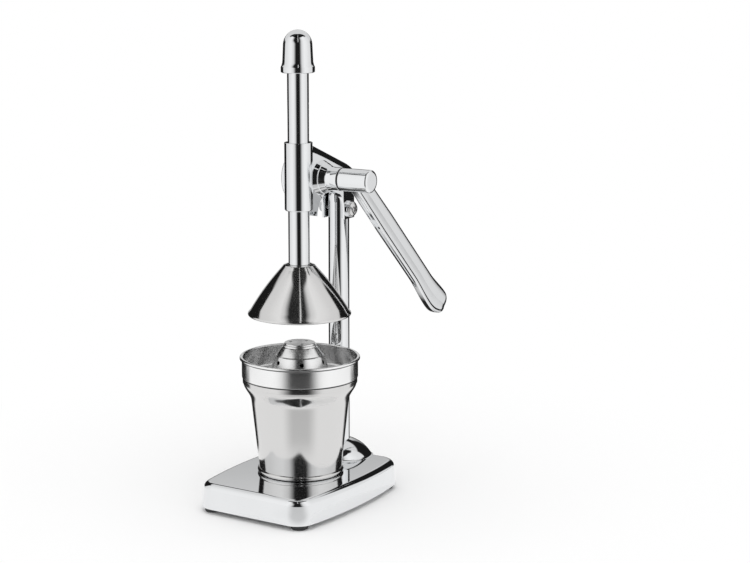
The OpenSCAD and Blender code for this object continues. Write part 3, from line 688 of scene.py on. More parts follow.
def model_base():
    """Base casting with leaning sides, rounded top edge and pockets, and the dome on it."""
    s = sizes()
    shell = chain("base_shell", base_outline(), closed=True)
    bpy.ops.mesh.edge_face_add()
    bpy.ops.mesh.extrude_region_move(
        TRANSFORM_OT_translate={"value": (0, 0, (s.base_top - s.base_foot) * MM)}
    )
    lean = [1 - 2 * s.base_draft / size for size in (s.base_width, s.base_length)]
    bpy.ops.transform.resize(value=(*lean, 1), center_override=Vector((0, s.press_y, s.base_top)) * MM)
    bpy.ops.mesh.bevel(offset=s.top_edge * MM, segments=10, affect="EDGES")
    even_normals()
    for side in (-1, 1):
        for end in (-1, 1):
            combine(shell, "DIFFERENCE", base_pocket(side, end))
    well = bar("well", (0, s.column_y, 0), (0, s.column_y, high_mm("column_washer", 2)), 8.5)
    combine(shell, "DIFFERENCE", well)
    dress(shell, "frame", finish_of("cast"), "base")
    dress(model_dome(), "frame", finish_of("cast"), "base")


def model_dome():
    """Domed foot of the column, hollowed where the cup stands and cut off at the back."""
    s = sizes()
    radius, fillet = s.dome_radius, s.dome_fillet
    crown = high_mm("base", 2)
    middle = crown - radius
    rise = s.base_top + fillet - middle
    foot = math.sqrt((radius + fillet) ** 2 - rise ** 2)
    lean = math.degrees(math.atan2(rise, foot))
    side = arc((0, middle), radius, 90, lean, 24)
    side += arc((foot, s.base_top + fillet + 0.02), fillet, lean + 180, 270, 10)[1:]
    sunk = s.base_top - 2.5
    dome = lathe("column_dome", side + [(foot, sunk), (0, sunk)], (0, s.column_y))
    back = s.press_y + s.base_length / 2 - 1
    combine(dome, "DIFFERENCE", block("back", (-60, back, 0), (60, back + 60, 60)))
    saddle = bar("saddle", (0, s.press_y, s.base_top + 0.02), (0, s.press_y, 60), s.cup_foot + 1.3)
    return combine(dome, "DIFFERENCE", saddle)


def model_feet():
    """Rubber feet, each with a hole and a recess for its screw."""
    s = sizes()
    top = s.base_foot
    profile = rounded([
        (2.0, 1.8, 0), (3.9, 1.8, 0.2), (3.9, 0, 0.3), (s.foot_radius - 0.2, 0, 0.8),
        (s.foot_radius, top, 0.3), (2.0, top, 0),
    ], closed=True)
    for place in PLACES:
        cad = "foot_" + place
        centre = (middle_mm(cad, 0), middle_mm(cad, 1))
        foot = lathe("rubber_" + cad, profile, centre, closed=True, steps=64)
        dress(foot, "frame", finish_of("rubber"), cad)


def model_column():
    """Round column between base and head."""
    s = sizes()
    low, high = low_mm("column", 2), high_mm("column", 2)
    profile = rounded([(0, low, 0), (s.column_radius, low, 0.5), (s.column_radius, high, 0.6), (0, high, 0)])
    column = lathe("column_bar", profile, (0, s.column_y))
    dress(column, "frame", finish_of("bar"), "column")


def model_cup():
    """Pressed cup: foot bead, leaning wall, flared neck and rolled lip."""
    s = sizes()
    foot, mouth = low_mm("cup", 2), high_mm("cup", 2)
    bead, wall_foot = s.cup_bead, s.cup_foot - 1.7
    slope = (s.cup_neck - wall_foot) / (s.cup_neck_z - foot - 3)
    lip = mouth - s.lip_height
    rise, spread_out = lip - s.cup_neck_z, s.cup_mouth - s.lip_roll - s.cup_neck
    flare = []
    for k in range(19):
        t = k / 18
        near = t ** 1.3
        r = s.cup_neck + spread_out * near * near * (3 - 2 * near) + slope * rise * t * (1 - t) ** 2
        flare.append((r, s.cup_neck_z + rise * t))
    outer = [(0, foot + 1.2), (s.cup_foot - 2.9, foot + 1.2)]
    outer += arc((s.cup_foot - bead, foot + bead), bead, -105, 62, 14)
    outer += [(wall_foot + 0.12, foot + 3.3), (wall_foot + 0.2, foot + 4.4)]
    steps = 10
    for k in range(1, steps):
        z = foot + 4.4 + (s.cup_neck_z - foot - 4.4) * k / steps
        outer.append((wall_foot + slope * (z - foot - 3), z))
    outer += flare
    inside = s.cup_mouth - s.lip_roll - s.sheet
    outer += rounded([
        (inside + s.sheet, lip, 0), (inside + s.sheet, lip + 0.25, 0.1), (s.cup_mouth, lip + 0.35, 0.5),
        (s.cup_mouth, mouth, 0.9), (inside, mouth, 0.5), (inside, lip, 0),
    ])[1:-1]
    inner = [(r - s.sheet, z) for r, z in reversed(flare)]
    inner += [(wall_foot - s.sheet + 0.2, foot + 6), (wall_foot - s.sheet - 0.4, foot + 3.6),
              (wall_foot - s.sheet - 2.0, foot + 2.2), (0, foot + 2.2)]
    cup = lathe("juice_cup", outer + inner, (0, s.press_y), steps=SHEET_STEPS)
    dress(cup, "cup", finish_of("cup"), "cup", crease=40)


def strainer_profile():
    """Strainer from inside the dome, down its steps, round floor, band and rim, and back up."""
    s = sizes()
    top, floor, rim = high_mm("strainer", 2), STRAINER_FLOOR, 122.4
    band_foot, skirt = 105.0, s.cup_mouth - STRAINER_GAP
    rim_r, band_r, t = s.rim_radius, s.band_radius, s.sheet
    under_dome = [
        (0, top - t, 0), (11.7, top - t, 0.3), (12.0, 131.3, 0.3), (13.0, 130.0, 0.4), (17.6, 123.2, 0.3),
        (18.7, 122.5, 0.3), (21.3, 114.8, 2),
    ]
    outside = [
        (REAMER_FOOT - 0.8, floor - t, 1.0), (skirt, floor - t, 0.9), (skirt, band_foot, 0.2),
        (band_r, band_foot, 0.9), (band_r, rim - 2.6, 0.5), (rim_r, rim - 2.2, 0.9), (rim_r, rim, 0.9),
    ]
    inside = [
        (band_r - t, rim, 0.8), (band_r - t, band_foot + t, 0.4), (skirt - t, band_foot + t, 0.4),
        (skirt - t, floor, 0.8), (REAMER_FOOT, floor, 1.2),
    ]
    dome = [
        (22.4, 115.3, 2.0), (19.85, 123.1, 0.5), (18.75, 123.9, 0.25), (14.5, 130.2, 0.3), (13.75, 130.8, 0.2),
        (13.75, 132.2, 0.6), (12.7, 132.4, 0.15), (12.7, top, 0.45), (0, top, 0),
    ]
    return rounded(under_dome + outside + inside + dome, steps=4)


def strainer_holes():
    """One cutter for all holes: in the flat top, round the dome and in the floor."""
    s = sizes()
    cutters = []

    def hole(radius, lean, turn, reach, height, length_mm):
        out = Vector((math.cos(turn), math.sin(turn), 0))
        axis = out * math.sin(lean) + Vector((0, 0, math.cos(lean)))
        middle = Vector((0, s.press_y, height)) + out * reach
        half = axis * length_mm / 2
        cutters.append(bar("hole", middle - half, middle + half, radius, steps=24))

    for k in range(3):
        hole(s.hole_radius * 0.8, 0, math.radians(-41 + 120 * k), 7.5, high_mm("strainer", 2), 12)
    lean = math.atan2(7.0, 2.2)
    for k in range(SIDE_HOLES):
        turn = SIDE_HOLE_TURN + TURN / SIDE_HOLES * k
        hole(s.hole_radius, lean, turn, SIDE_HOLE_REACH, SIDE_HOLE_HEIGHT, 7)
    floor_middle = (REAMER_FOOT + s.cup_mouth - STRAINER_GAP) / 2
    for k in range(12):
        hole(s.hole_radius, 0, math.radians(30 * (k + 0.5)), floor_middle, STRAINER_FLOOR - 0.5, 8)
    activate(cutters[0])
    for cutter in cutters:
        cutter.select_set(True)
    bpy.ops.object.join()
    return cutters[0]


def model_strainer():
    """Strainer with its holes, shaded as the whole sheet is."""
    strainer = lathe("strainer_bowl", strainer_profile(), (0, sizes().press_y), steps=SHEET_STEPS)
    shape = strainer.copy()
    shape.data = strainer.data.copy()
    bpy.context.collection.objects.link(shape)
    activate(shape)
    bpy.ops.object.shade_smooth_by_angle(angle=math.radians(40))
    combine(strainer, "DIFFERENCE", strainer_holes())
    dress(strainer, "strainer", finish_of("strainer"), "strainer", crease=40)
    step = strainer.modifiers.new("shape", "DATA_TRANSFER")
    step.object = shape
    step.use_loop_data = True
    step.data_types_loops = {"CUSTOM_NORMAL"}
    step.loop_mapping = "POLYINTERP_NEAREST"
    activate(strainer)
    bpy.ops.object.modifier_apply(modifier=step.name)
    bpy.data.meshes.remove(shape.data)


def cone_side(depth, steps=14):
    """Side of the cone from rim to crown, moved inwards by a depth."""
    s = sizes()
    rim, crown = low_mm("cone", 2) + CONE_BEAD, high_mm("cone", 2)
    a, b = Vector((s.cone_radius - 0.5, rim)), Vector((s.cone_top + 1.8, crown - 0.9))
    run = (b - a).normalized()
    out = Vector((run.y, -run.x))
    points = []
    for k in range(steps + 1):
        t = k / steps
        points.append(tuple(a + (b - a) * t + out * (s.cone_swell * 4 * t * (1 - t) - depth)))
    return points


def model_cone():
    """Press cone of sheet steel with a rolled rim and a flat crown on the rod."""
    s = sizes()
    rim, crown = low_mm("cone", 2) + CONE_BEAD, high_mm("cone", 2)
    under = crown - 2 * CONE_SHEET
    outer, inner = cone_side(0)[1:], cone_side(CONE_SHEET)
    lip = arc((s.cone_radius - CONE_BEAD, rim), CONE_BEAD, 200, 395, 16)
    profile = [inner[1]] + lip + outer[:-1]
    profile += rounded([
        outer[-2] + (0,), (s.cone_top + 1.6, crown - 0.5, 0.8), (s.cone_top - 0.6, crown, 0.8),
        (s.cone_top - 2, crown, 0),
    ])[1:]
    profile += [(8.0, crown), (5.1, crown), (5.1, under), (s.cone_top - 0.6, under)]
    profile += list(reversed(inner))[1:-2]
    cone = lathe("press_cone", profile, (0, s.press_y), closed=True, steps=SHEET_STEPS)
    dress(cone, "press", finish_of("cone"), "cone", crease=40)


def rack_teeth():
    """Side view of the space behind and between the rack teeth."""
    s = sizes()
    pitch, slope = math.pi * RACK_MODULE, math.tan(math.radians(20))
    line, tip, root = s.press_y + 5.5, RACK_MODULE, -1.25 * RACK_MODULE
    wide, narrow = pitch / 4 + tip * slope, pitch / 4 + root * slope
    first, last, behind = -5, 13, line + 30
    low, high = s.lever_z + (first - 0.5) * pitch, s.lever_z + (last + 0.5) * pitch
    teeth = [(behind, low), (line + tip, low)]
    for i in range(first, last + 1):
        z = s.lever_z + i * pitch
        teeth += [(line + tip, z - wide), (line + root, z - narrow)]
        teeth += [(line + root, z + narrow), (line + tip, z + wide)]
    return teeth + [(line + tip, high), (behind, high)]


def model_rod():
    """Round rod with the rack teeth cut into its back."""
    s = sizes()
    foot, top = high_mm("cone", 2), low_mm("cap", 2)
    profile = rounded([
        (0, foot - 2, 0), (4.9, foot - 2, 0), (4.9, foot + 0.02, 0), (s.rod_radius, foot + 0.02, 0.3),
        (s.rod_radius, top, 0.2), (5, top, 0), (5, top + 14, 0.4), (0, top + 14, 0),
    ])
    rod = lathe("rack_rod", profile, (0, s.press_y))
    combine(rod, "DIFFERENCE", plate("rack", [(-15, y, z) for y, z in rack_teeth()], (30, 0, 0)))
    dress(rod, "press", finish_of("bar"), "rod")


def model_cap():
    """Bell-shaped cap: rounded rim, hollow flare, slightly tapered side and elliptic dome."""
    s = sizes()
    low, top = low_mm("cap", 2), high_mm("cap", 2)
    rim, flare, edge = 4.4, 5.6, 0.9
    steps = [k / 10 for k in range(11)]
    profile = [(0, low)] + arc((s.cap_radius - edge, low + edge), edge, -90, 0, 8)
    out = s.cap_radius - s.cap_waist
    profile += [(s.cap_waist + out * (1 - t) ** 2, low + rim + flare * t) for t in steps]
    dome = [math.radians(3 * k) for k in range(31)]
    profile += [(s.cap_side * math.cos(a), top - s.cap_dome * (1 - math.sin(a))) for a in dome]
    cap = lathe("rod_cap", profile, (0, s.press_y))
    dress(cap, "press", finish_of("bar"), "cap", crease=40)


def roof_start():
    """Place and height of the front end of the roof line."""
    s = sizes()
    return s.press_y + s.sleeve_radius, s.sleeve_top - 2


def roof_line(y):
    """Height of the roof line at a place along the web."""
    start_y, start_z = roof_start()
    return start_z - (y - start_y) * math.tan(ROOF_SLOPE)


def arch_places():
    """Front, back and height of the centre of the arch between sleeve and column."""
    s = sizes()
    front, back = s.press_y + s.sleeve_radius + 1, s.column_y - s.column_radius + 0.3
    return front, back, s.lever_z - 11.8 - (back - front) / 2


def head_web(leg):
    """Web drawn up from its plan: narrow at the sleeve, with flat sides at the column socket."""
    s = sizes()
    flat, corner = 10.8, 8.0
    back = s.column_y + s.socket_radius + 0.5
    plan = [(9.6, s.press_y + 3), (11.2, arch_places()[1] - 1.5)]
    plan += arc((flat - corner, back - corner), corner, 0, 90, 16)
    plan = [(-x, y) for x, y in plan] + [(x, y) for x, y in reversed(plan)]
    return plate("head_casting", [(x, y, leg) for x, y in plan], (0, 0, roof_start()[1] + 5 - leg))


def head_roof():
    """Space under the vaulted roof, which widens as it falls towards the back."""
    s = sizes()
    slope = ROOF_SLOPE + ROOF_TAPER
    fall, up = Vector((0, math.cos(slope), -math.sin(slope))), Vector((0, math.sin(slope), math.cos(slope)))
    run, before = 119, 30
    ridge = Vector((0, *roof_start())) - up * s.roof_vault - fall * before
    near, far = (s.roof_vault + along * math.tan(ROOF_TAPER) for along in (-before, run - before))
    section = [(20, -90), (20, 0)] + arc((0, 0), near, 0, 180, 64) + [(-20, 0), (-20, -90)]
    roof = chain("roof", [Vector((x, 0, 0)) + ridge + up * z for x, z in section], closed=True)
    bpy.ops.mesh.edge_face_add()
    bpy.ops.mesh.extrude_region_move(TRANSFORM_OT_translate={"value": fall * run * MM})
    bpy.ops.transform.resize(value=[far / near] * 3, center_override=(ridge + fall * run) * MM)
    even_normals()
    return roof


def head_hood(leg):
    """Side view of the web, drawn across: roof line in front, hood rounded down behind the column."""
    s = sizes()
    hood_y = s.column_y + s.socket_radius + 0.5 - s.hood_round
    hood_from = s.column_y - 3.5
    hood_z = roof_line(hood_from) - math.sqrt(s.hood_round ** 2 - (hood_from - hood_y) ** 2)
    top_angle = math.degrees(math.acos((hood_from - 0.5 - hood_y) / s.hood_round))
    front = s.press_y - 5
    side = [(front, leg - 5), (hood_y + s.hood_round, leg - 5)]
    side += arc((hood_y, hood_z), s.hood_round, 0, top_angle, 48)
    side += [(hood_from - 0.5, roof_line(hood_from) + 3), (front, roof_line(front) + 3)]
    return plate("hood", [(-30, y, z) for y, z in side], (60, 0, 0))


def open_arch(web, leg):
    """Opens the arch between sleeve and column, the space below the sleeve and the mouth of the socket."""
    s = sizes()
    front, back, centre_z = arch_places()
    middle, low = (front + back) / 2, leg - 5
    hollow = [(front, low)] + arc((middle, centre_z), (back - front) / 2, 180, 0, 40) + [(back, low)]
    combine(web, "DIFFERENCE", plate("arch", [(-30, y, z) for y, z in hollow], (60, 0, 0)))
    below = block("front", (-30, s.press_y - 20, low), (30, front + 0.01, s.sleeve_foot - 1.5))
    combine(web, "DIFFERENCE", below)
    slot = s.column_radius + 0.5
    mouth = [(-slot, low)] + arc((0, centre_z + 6), slot, 180, 0, 32) + [(slot, low)]
    depth = (0, s.column_y - middle, 0)
    combine(web, "DIFFERENCE", plate("mouth", [(x, middle, z) for x, z in mouth], depth))


def head_barrel(end):
    """Bearing barrel of the lever shaft: flared root, ring and hollow flare down to the hub."""
    s = sizes()
    root, ring, neck = s.barrel_radius + 4.2, s.barrel_radius + 1.2, s.hub_radius + 0.1
    return lathe("barrel", rounded([
        (0, 4, 0), (root, 4, 0), (root, 7.6, 0.4), (ring, 13.3, 0.3), (ring, 13.8, 0.3), (ring - 0.4, 14.1, 0),
        (neck + 0.4, 19.2, 3.5), (neck, 23, 1), (neck, end, 0.4), (0, end, 0),
    ]), (s.lever_y, s.lever_z), across=True)


def model_head():
    """Sleeve, web with sloping roof, column socket and bearing barrel in one casting."""
    s = sizes()
    leg, end = low_mm("head", 2), low_mm("hub_washer", 0) - 0.3
    column, lever = s.column_y, (s.lever_y, s.lever_z)
    web = head_web(leg)
    combine(web, "INTERSECT", head_roof())
    combine(web, "INTERSECT", head_hood(leg))
    open_arch(web, leg)
    combine(web, "UNION", bar("housing", (-HOUSING_BACK, *lever), (0, *lever), half_mm("gear_cover", 1)))
    clamp = (column, middle_mm("clamp_screw", 2))
    for side in (-1, 1):
        combine(web, "UNION", bar("boss", (side * 9.7, *clamp), (side * CLAMP_FACE, *clamp), 7))
    socket_top = high_mm("column", 2) + 0.3
    socket = bar("socket_bore", (0, column, leg - 5), (0, column, socket_top), s.column_radius + 0.06)
    combine(web, "DIFFERENCE", socket)
    combine(web, "UNION", lathe("sleeve", rounded([
        (0, s.sleeve_foot, 0), (s.sleeve_radius, s.sleeve_foot, 1.5), (s.sleeve_radius, s.sleeve_top, 0.5),
        (0, s.sleeve_top, 0),
    ]), (0, s.press_y)))
    combine(web, "UNION", head_barrel(end))
    rod_bore = bar("bore", (0, s.press_y, leg - 5), (0, s.press_y, s.sleeve_top + 5), s.rod_radius + 0.08)
    combine(web, "DIFFERENCE", rod_bore)
    combine(web, "DIFFERENCE", bar("gear_room", (-14, *lever), (5.5, *lever), 15.7))
    combine(web, "DIFFERENCE", bar("shaft_bore", (0, *lever), (end + 5, *lever), 5.08))
    dress(web, "frame", finish_of("cast"), "head", crease=20)


def model_gear_cover():
    """Round cover of the gear housing with a shallow dished face."""
    s = sizes()
    face, rim = low_mm("gear_cover", 0), half_mm("gear_cover", 1) - 0.1
    profile = rounded([
        (0, -HOUSING_BACK, 0), (rim, -HOUSING_BACK, 0.2), (rim, face, 1.4), (11.2, face, 0.6),
        (10.4, face + 0.5, 0.6), (0, face + 0.5, 0),
    ])
    cover = lathe("gear_housing_cover", profile, (s.lever_y, s.lever_z), across=True)
    dress(cover, "frame", finish_of("cast"), "gear_cover")


def cross_screw(name, place, side, head, height, thread, length_mm):
    """Pan head screw with a cross recess, its head standing out to one side."""
    x, y, z = place
    profile = rounded([
        (0, height, 0), (head * 0.62, height, head * 0.5), (head, height * 0.45, head * 0.18), (head, 0, 0.1),
        (thread, 0, 0), (thread, -length_mm, 0), (0, -length_mm, 0),
    ], steps=8)
    screw = lathe(name, [(r, x + side * h) for r, h in profile], (y, z), across=True, steps=64)
    reach, width, depth = head * 0.58, head * 0.13, height * 0.55
    half = [(-reach * 0.55, -width), (reach * 0.55, -width), (reach, -width * 0.8), (reach, width * 0.8)]
    corners = half + [(-a, -b) for a, b in half]
    start = Vector((x + side * (height - depth), y, z))
    for turn in (math.radians(53), math.radians(143)):
        along = Vector((0, math.cos(turn), math.sin(turn)))
        aside = Vector((0, -math.sin(turn), math.cos(turn)))
        groove = plate("groove", [start + along * a + aside * b for a, b in corners], (side * height, 0, 0))
        combine(screw, "DIFFERENCE", groove)
    return screw


def model_screws():
    """Clamp screw with its nut, and the screws of the gear cover."""
    s = sizes()
    place = (CLAMP_FACE, s.column_y, middle_mm("clamp_screw", 2))
    screw = cross_screw("clamp_cross_screw", place, 1, 6.0, 3.5, 2.5, 31)
    dress(screw, "frame", finish_of("bright"), "clamp_screw")
    for where in ("rear", "upper", "lower"):
        cad = "cover_screw_" + where
        place = (low_mm("gear_cover", 0), middle_mm(cad, 1), middle_mm(cad, 2))
        screw = cross_screw(cad + "_cross", place, -1, 2.6, 2.0, 1.5, 9)
        dress(screw, "frame", finish_of("screw"), cad)
    x, axis = low_mm("clamp_nut", 0), (s.column_y, middle_mm("clamp_nut", 2))
    nut = bar("clamp_hex_nut", (x, *axis), (x + 4.2, *axis), 4.625, steps=6)
    chamfer = [(0, x, 0), (4.0, x, 0), (4.7, x + 0.6, 0), (4.7, x + 4.3, 0), (0, x + 4.3, 0)]
    combine(nut, "INTERSECT", lathe("chamfer", rounded(chamfer), axis, across=True, steps=64))
    combine(nut, "DIFFERENCE", bar("nut_bore", (x - 1, *axis), (x + 6, *axis), 2.56, steps=48))
    dress(nut, "frame", finish_of("screw"), "clamp_nut")


def arm_edges(along):
    """Upper and lower edge of the lever arm at a distance from its axis."""
    s = sizes()
    root = s.hub_radius - 0.3
    arm = root + (s.arm_half - root) * min(1.0, along / 60)

    def edge(begin, corner, run, deep):
        swell = min(1.0, max(0.0, (along - begin) / (corner - begin)))
        half = arm + (s.arm_flare - arm) * swell * swell * (3 - 2 * swell)
        beyond = min(1.0, max(0.0, (along - corner) / run))
        return half - deep * (1 - math.sqrt(1 - beyond * beyond))

    upper = edge(150, s.arm_length - TIP_RUN, TIP_RUN, s.arm_flare - 3.5)
    lower = edge(128, s.arm_length - 24, 24, s.arm_flare + 3.5)
    return upper, -lower


def arm_section(half):
    """Section of the arm: slightly crowned faces, rounded edges and a low lip along the lower edge."""
    flank = sizes().arm_thick / 2
    crown, face, draft = 0.12, flank - 0.5, math.tan(math.radians(1.8))
    section = rounded([
        (-half, flank, 1.1), (-half + 1.9, flank, 0.5), (-half + 3.0, face, 0.6),
        (-half * 0.4, face + crown * 0.75, 6), (0, face + crown, 8), (half * 0.5, face + crown * 0.75, 6),
        (half, face, 3.3), (half, -flank + crown, 2.6), (half * 0.5, -flank + crown * 0.25, 6), (0, -flank, 8),
        (-half * 0.5, -flank + crown * 0.25, 6), (-half, -flank + crown, 1.6),
    ], closed=True)
    return [(x + math.copysign(w * draft, x), w) for w, x in section]


def arm_thinning(along):
    """Share of the arm's thickness that is left at a distance from its axis."""
    left = (sizes().arm_length - along) / 5
    tip = 1.0 if left >= 1 else 0.35 + 0.65 * math.sqrt(1 - (1 - left) ** 2)
    return (1 - 0.2 * min(1.0, along / 170)) * tip


def lever_arm(arm_x):
    """Arm drawn out station by station from its section at the hub, then turned down to its slope."""
    s = sizes()
    half = arm_edges(0)[0]
    arm = chain("lever_arm", [(arm_x + x, 0, w) for x, w in arm_section(half)], closed=True)
    bpy.ops.mesh.edge_face_add()
    stations = [20, 40, 60, 90, 120, 130] + [134 + 4 * k for k in range(12)]
    tip, turns = s.arm_length - TIP_RUN, (6, 14, 22, 30, 38, 46, 54, 62, 69, 75, 80, 84, 87)
    stations += [tip + TIP_RUN * math.sin(math.radians(a)) for a in turns]
    now, width, thick, centre = 0.0, half, 1.0, 0.0
    for along in stations:
        bpy.ops.mesh.extrude_region_move(TRANSFORM_OT_translate={"value": (0, (along - now) * MM, 0)})
        upper, lower = arm_edges(along)
        new_width, new_centre, new_thick = (upper - lower) / 2, (upper + lower) / 2, arm_thinning(along)
        bpy.ops.transform.resize(
            value=(new_thick / thick, 1, new_width / width),
            center_override=Vector((arm_x, along, centre)) * MM,
        )
        bpy.ops.transform.translate(value=(0, 0, (new_centre - centre) * MM))
        now, width, thick, centre = along, new_width, new_thick, new_centre
    even_normals()
    arm.rotation_euler = (-ARM_SLOPE, 0, 0)
    arm.location = (Vector((0, s.lever_y, s.lever_z)) + ARM_UP * 0.35) * MM
    activate(arm)
    bpy.ops.object.transform_apply(location=True, rotation=True, scale=True)
    return arm


def arm_channel(arm_x):
    """Shallow channel along the underside of the arm."""
    s = sizes()
    width, deep = 1.8, -8.9
    outline = rounded(
        [(14, -30, 0), (14, deep + 0.3, 1), (60, deep, 1), (140, deep, 1), (140, -30, 0)], closed=True
    )
    start = Vector((arm_x - width / 2, s.lever_y, s.lever_z))
    return plate("channel", [start + ARM_FALL * a + ARM_UP * w for a, w in outline], (width, 0, 0))


def model_lever():
    """Hub and arm in one casting, with the hole for the set screw."""
    s = sizes()
    hub_x, hub_end = high_mm("hub_washer", 0), high_mm("lever", 0)
    turns = [math.radians(90 - 10 * k) for k in range(10)]
    end = [(s.hub_radius - 2.8 * (1 - math.sin(a)), hub_end - 2.0 * (1 - math.cos(a)), 0) for a in turns]
    profile = rounded([(0, hub_x, 0), (s.hub_radius, hub_x, 0.8), *end, (0, hub_end, 0)])
    hub = lathe("lever_hub", profile, (s.lever_y, s.lever_z), across=True)
    arm_x = hub_x + (hub_end - hub_x) * 0.47
    arm = combine(lever_arm(arm_x), "DIFFERENCE", arm_channel(arm_x))
    combine(hub, "UNION", arm)
    hole_ends = [(hub_x + 4.5, s.lever_y, s.lever_z - below) for below in (12, 5)]
    combine(hub, "DIFFERENCE", bar("set_hole", *hole_ends, 2.06, steps=48))
    dress(hub, "lever", finish_of("cast"), "lever")


def dress_frame_nodes():
    """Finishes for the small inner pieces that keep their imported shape."""
    kept = {
        "screw": ["column_bolt", "column_washer", "cone_washer"] + ["foot_screw_" + p for p in PLACES],
        "bright": ["cone_screw"],
        "gear": ["pinion", "pinion_shaft", "pinion_pin", "set_screw"],
        "seal": ["hub_washer"],
    }
    for finish, nodes in kept.items():
        for name in nodes:
            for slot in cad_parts[name].material_slots:
                slot.material = finish_of(finish)


# Stage


def plain_light(name):
    """Finish that only glows white, as finish, tree and glow."""
    finish = bpy.data.materials.new(name)
    finish.use_nodes = True
    tree = finish.node_tree
    tree.nodes.clear()
    glow = node(tree, "ShaderNodeEmission", Color=(1, 1, 1, 1), Strength=1.0)
    out = tree.nodes.new("ShaderNodeOutputMaterial")
    tree.links.new(glow.outputs["Emission"], out.inputs["Surface"])
    return finish, tree, glow


def make_camera():
    """Camera at the height, reach and turn of the view."""
    look = bpy.context.scene.juicer_stage
    reach, turn = look.view_reach, look.view_turn
    press = bpy.context.scene.juicer_sizes.press_y
    bpy.ops.object.camera_add(
        location=(reach * math.sin(turn), press - reach * math.cos(turn), look.view_height)
    )
    camera = bpy.context.object
    facing = (
        Matrix.Rotation(turn, 3, "Z")
        @ Matrix.Rotation(math.pi / 2 - look.view_tilt, 3, "X")
        @ Matrix.Rotation(look.view_roll, 3, "Z")
    )
    camera.rotation_euler = facing.to_euler()
    camera.data.lens = look.lens
    camera.data.sensor_width = 36
    camera.data.shift_x, camera.data.shift_y = VIEW_SHIFT
    camera.data.clip_end = 50
    bpy.context.scene.camera = camera


def make_world():
    """White for what is seen directly or mirrored, softer for what lights the floor."""
    world = bpy.context.scene.world or bpy.data.worlds.new("studio")
    bpy.context.scene.world = world
    world.use_nodes = True
    tree = world.node_tree
    tree.nodes.clear()
    path = tree.nodes.new("ShaderNodeLightPath")
    rays = [path.outputs[name] for name in ("Is Camera Ray", "Is Glossy Ray", "Is Transmission Ray")]
    soft = node(tree, "ShaderNodeBackground", Color=(1, 1, 1, 1), Strength=0.87)
    white = node(tree, "ShaderNodeBackground", Color=(1, 1, 1, 1), Strength=1.0)
    mix = tree.nodes.new("ShaderNodeMixShader")
    tree.links.new(gather(tree, "MAXIMUM", *rays), mix.inputs["Fac"])
    tree.links.new(soft.outputs["Background"], mix.inputs[1])
    tree.links.new(white.outputs["Background"], mix.inputs[2])
    out = tree.nodes.new("ShaderNodeOutputWorld")
    tree.links.new(mix.outputs["Shader"], out.inputs["Surface"])


def make_floor():
    """Pale floor that takes the shadow near the juicer and fades to white further off."""
    look = bpy.context.scene.juicer_stage
    floor = primitive(bpy.ops.mesh.primitive_circle_add, "floor", vertices=96, radius=8.0, fill_type="NGON")
    finish, tree, glow = plain_light("floor_white")
    out = next(n for n in tree.nodes if n.type == "OUTPUT_MATERIAL")
    paper = node(tree, "ShaderNodeBsdfDiffuse", Color=(*look.floor_shade, 1))
    away = node(tree, "ShaderNodeVectorMath", operation="LENGTH")
    tree.links.new(node(tree, "ShaderNodeTexCoord").outputs["Object"], away.inputs[0])
    mix = tree.nodes.new("ShaderNodeMixShader")
    tree.links.new(between(tree, away.outputs["Value"], 0.16, 0.42), mix.inputs["Fac"])
    tree.links.new(paper.outputs["BSDF"], mix.inputs[1])
    tree.links.new(glow.outputs["Emission"], mix.inputs[2])
    tree.links.new(mix.outputs["Shader"], out.inputs["Surface"])
    floor.data.materials.append(finish)
    floor.visible_diffuse = False


def hide_from_light(obj):
    """Only mirror reflections show the tent's flags."""
    obj.visible_camera = False
    obj.visible_diffuse = False
    obj.visible_shadow = False
    obj.visible_volume_scatter = False


def ramp(tree, value, stops):
    """Brightness that follows (place, brightness) stops."""
    made = node(tree, "ShaderNodeValToRGB")
    band = made.color_ramp
    for place, _ in stops[1:-1]:
        band.elements.new(place)
    for element, (place, shade) in zip(band.elements, stops):
        element.position = place
        element.color = (shade, shade, shade, 1)
    tree.links.new(value, made.inputs["Fac"])
    return made.outputs["Color"]


def turned_away(tree):
    """Half turns away from the camera about the press axis, and the place they are counted at."""
    look = bpy.context.scene.juicer_stage
    turn = node(tree, "ShaderNodeVectorRotate", rotation_type="Z_AXIS", Angle=-look.view_turn)
    tree.links.new(place_on(tree, (0, sizes().press_y, 0)), turn.inputs["Vector"])
    parts = node(tree, "ShaderNodeSeparateXYZ")
    tree.links.new(turn.outputs["Vector"], parts.inputs["Vector"])
    aside = calculate(tree, "ABSOLUTE", parts.outputs["X"])
    ahead = calculate(tree, "MULTIPLY", parts.outputs["Y"], -1.0)
    away = calculate(tree, "DIVIDE", calculate(tree, "ARCTAN2", aside, ahead), math.pi)
    return away, turn.outputs["Vector"]


def ramp_degrees(tree, away, stops):
    """Brightness that follows stops at turns away from the camera, in degrees."""
    return ramp(tree, away, [(degrees / HALF_TURN, shade) for degrees, shade in stops])


def from_to(tree, away, start, end, low=0.0, high=1.0):
    """Soft step between two turns away from the camera, in degrees."""
    return between(tree, away, start / HALF_TURN, end / HALF_TURN, low, high)


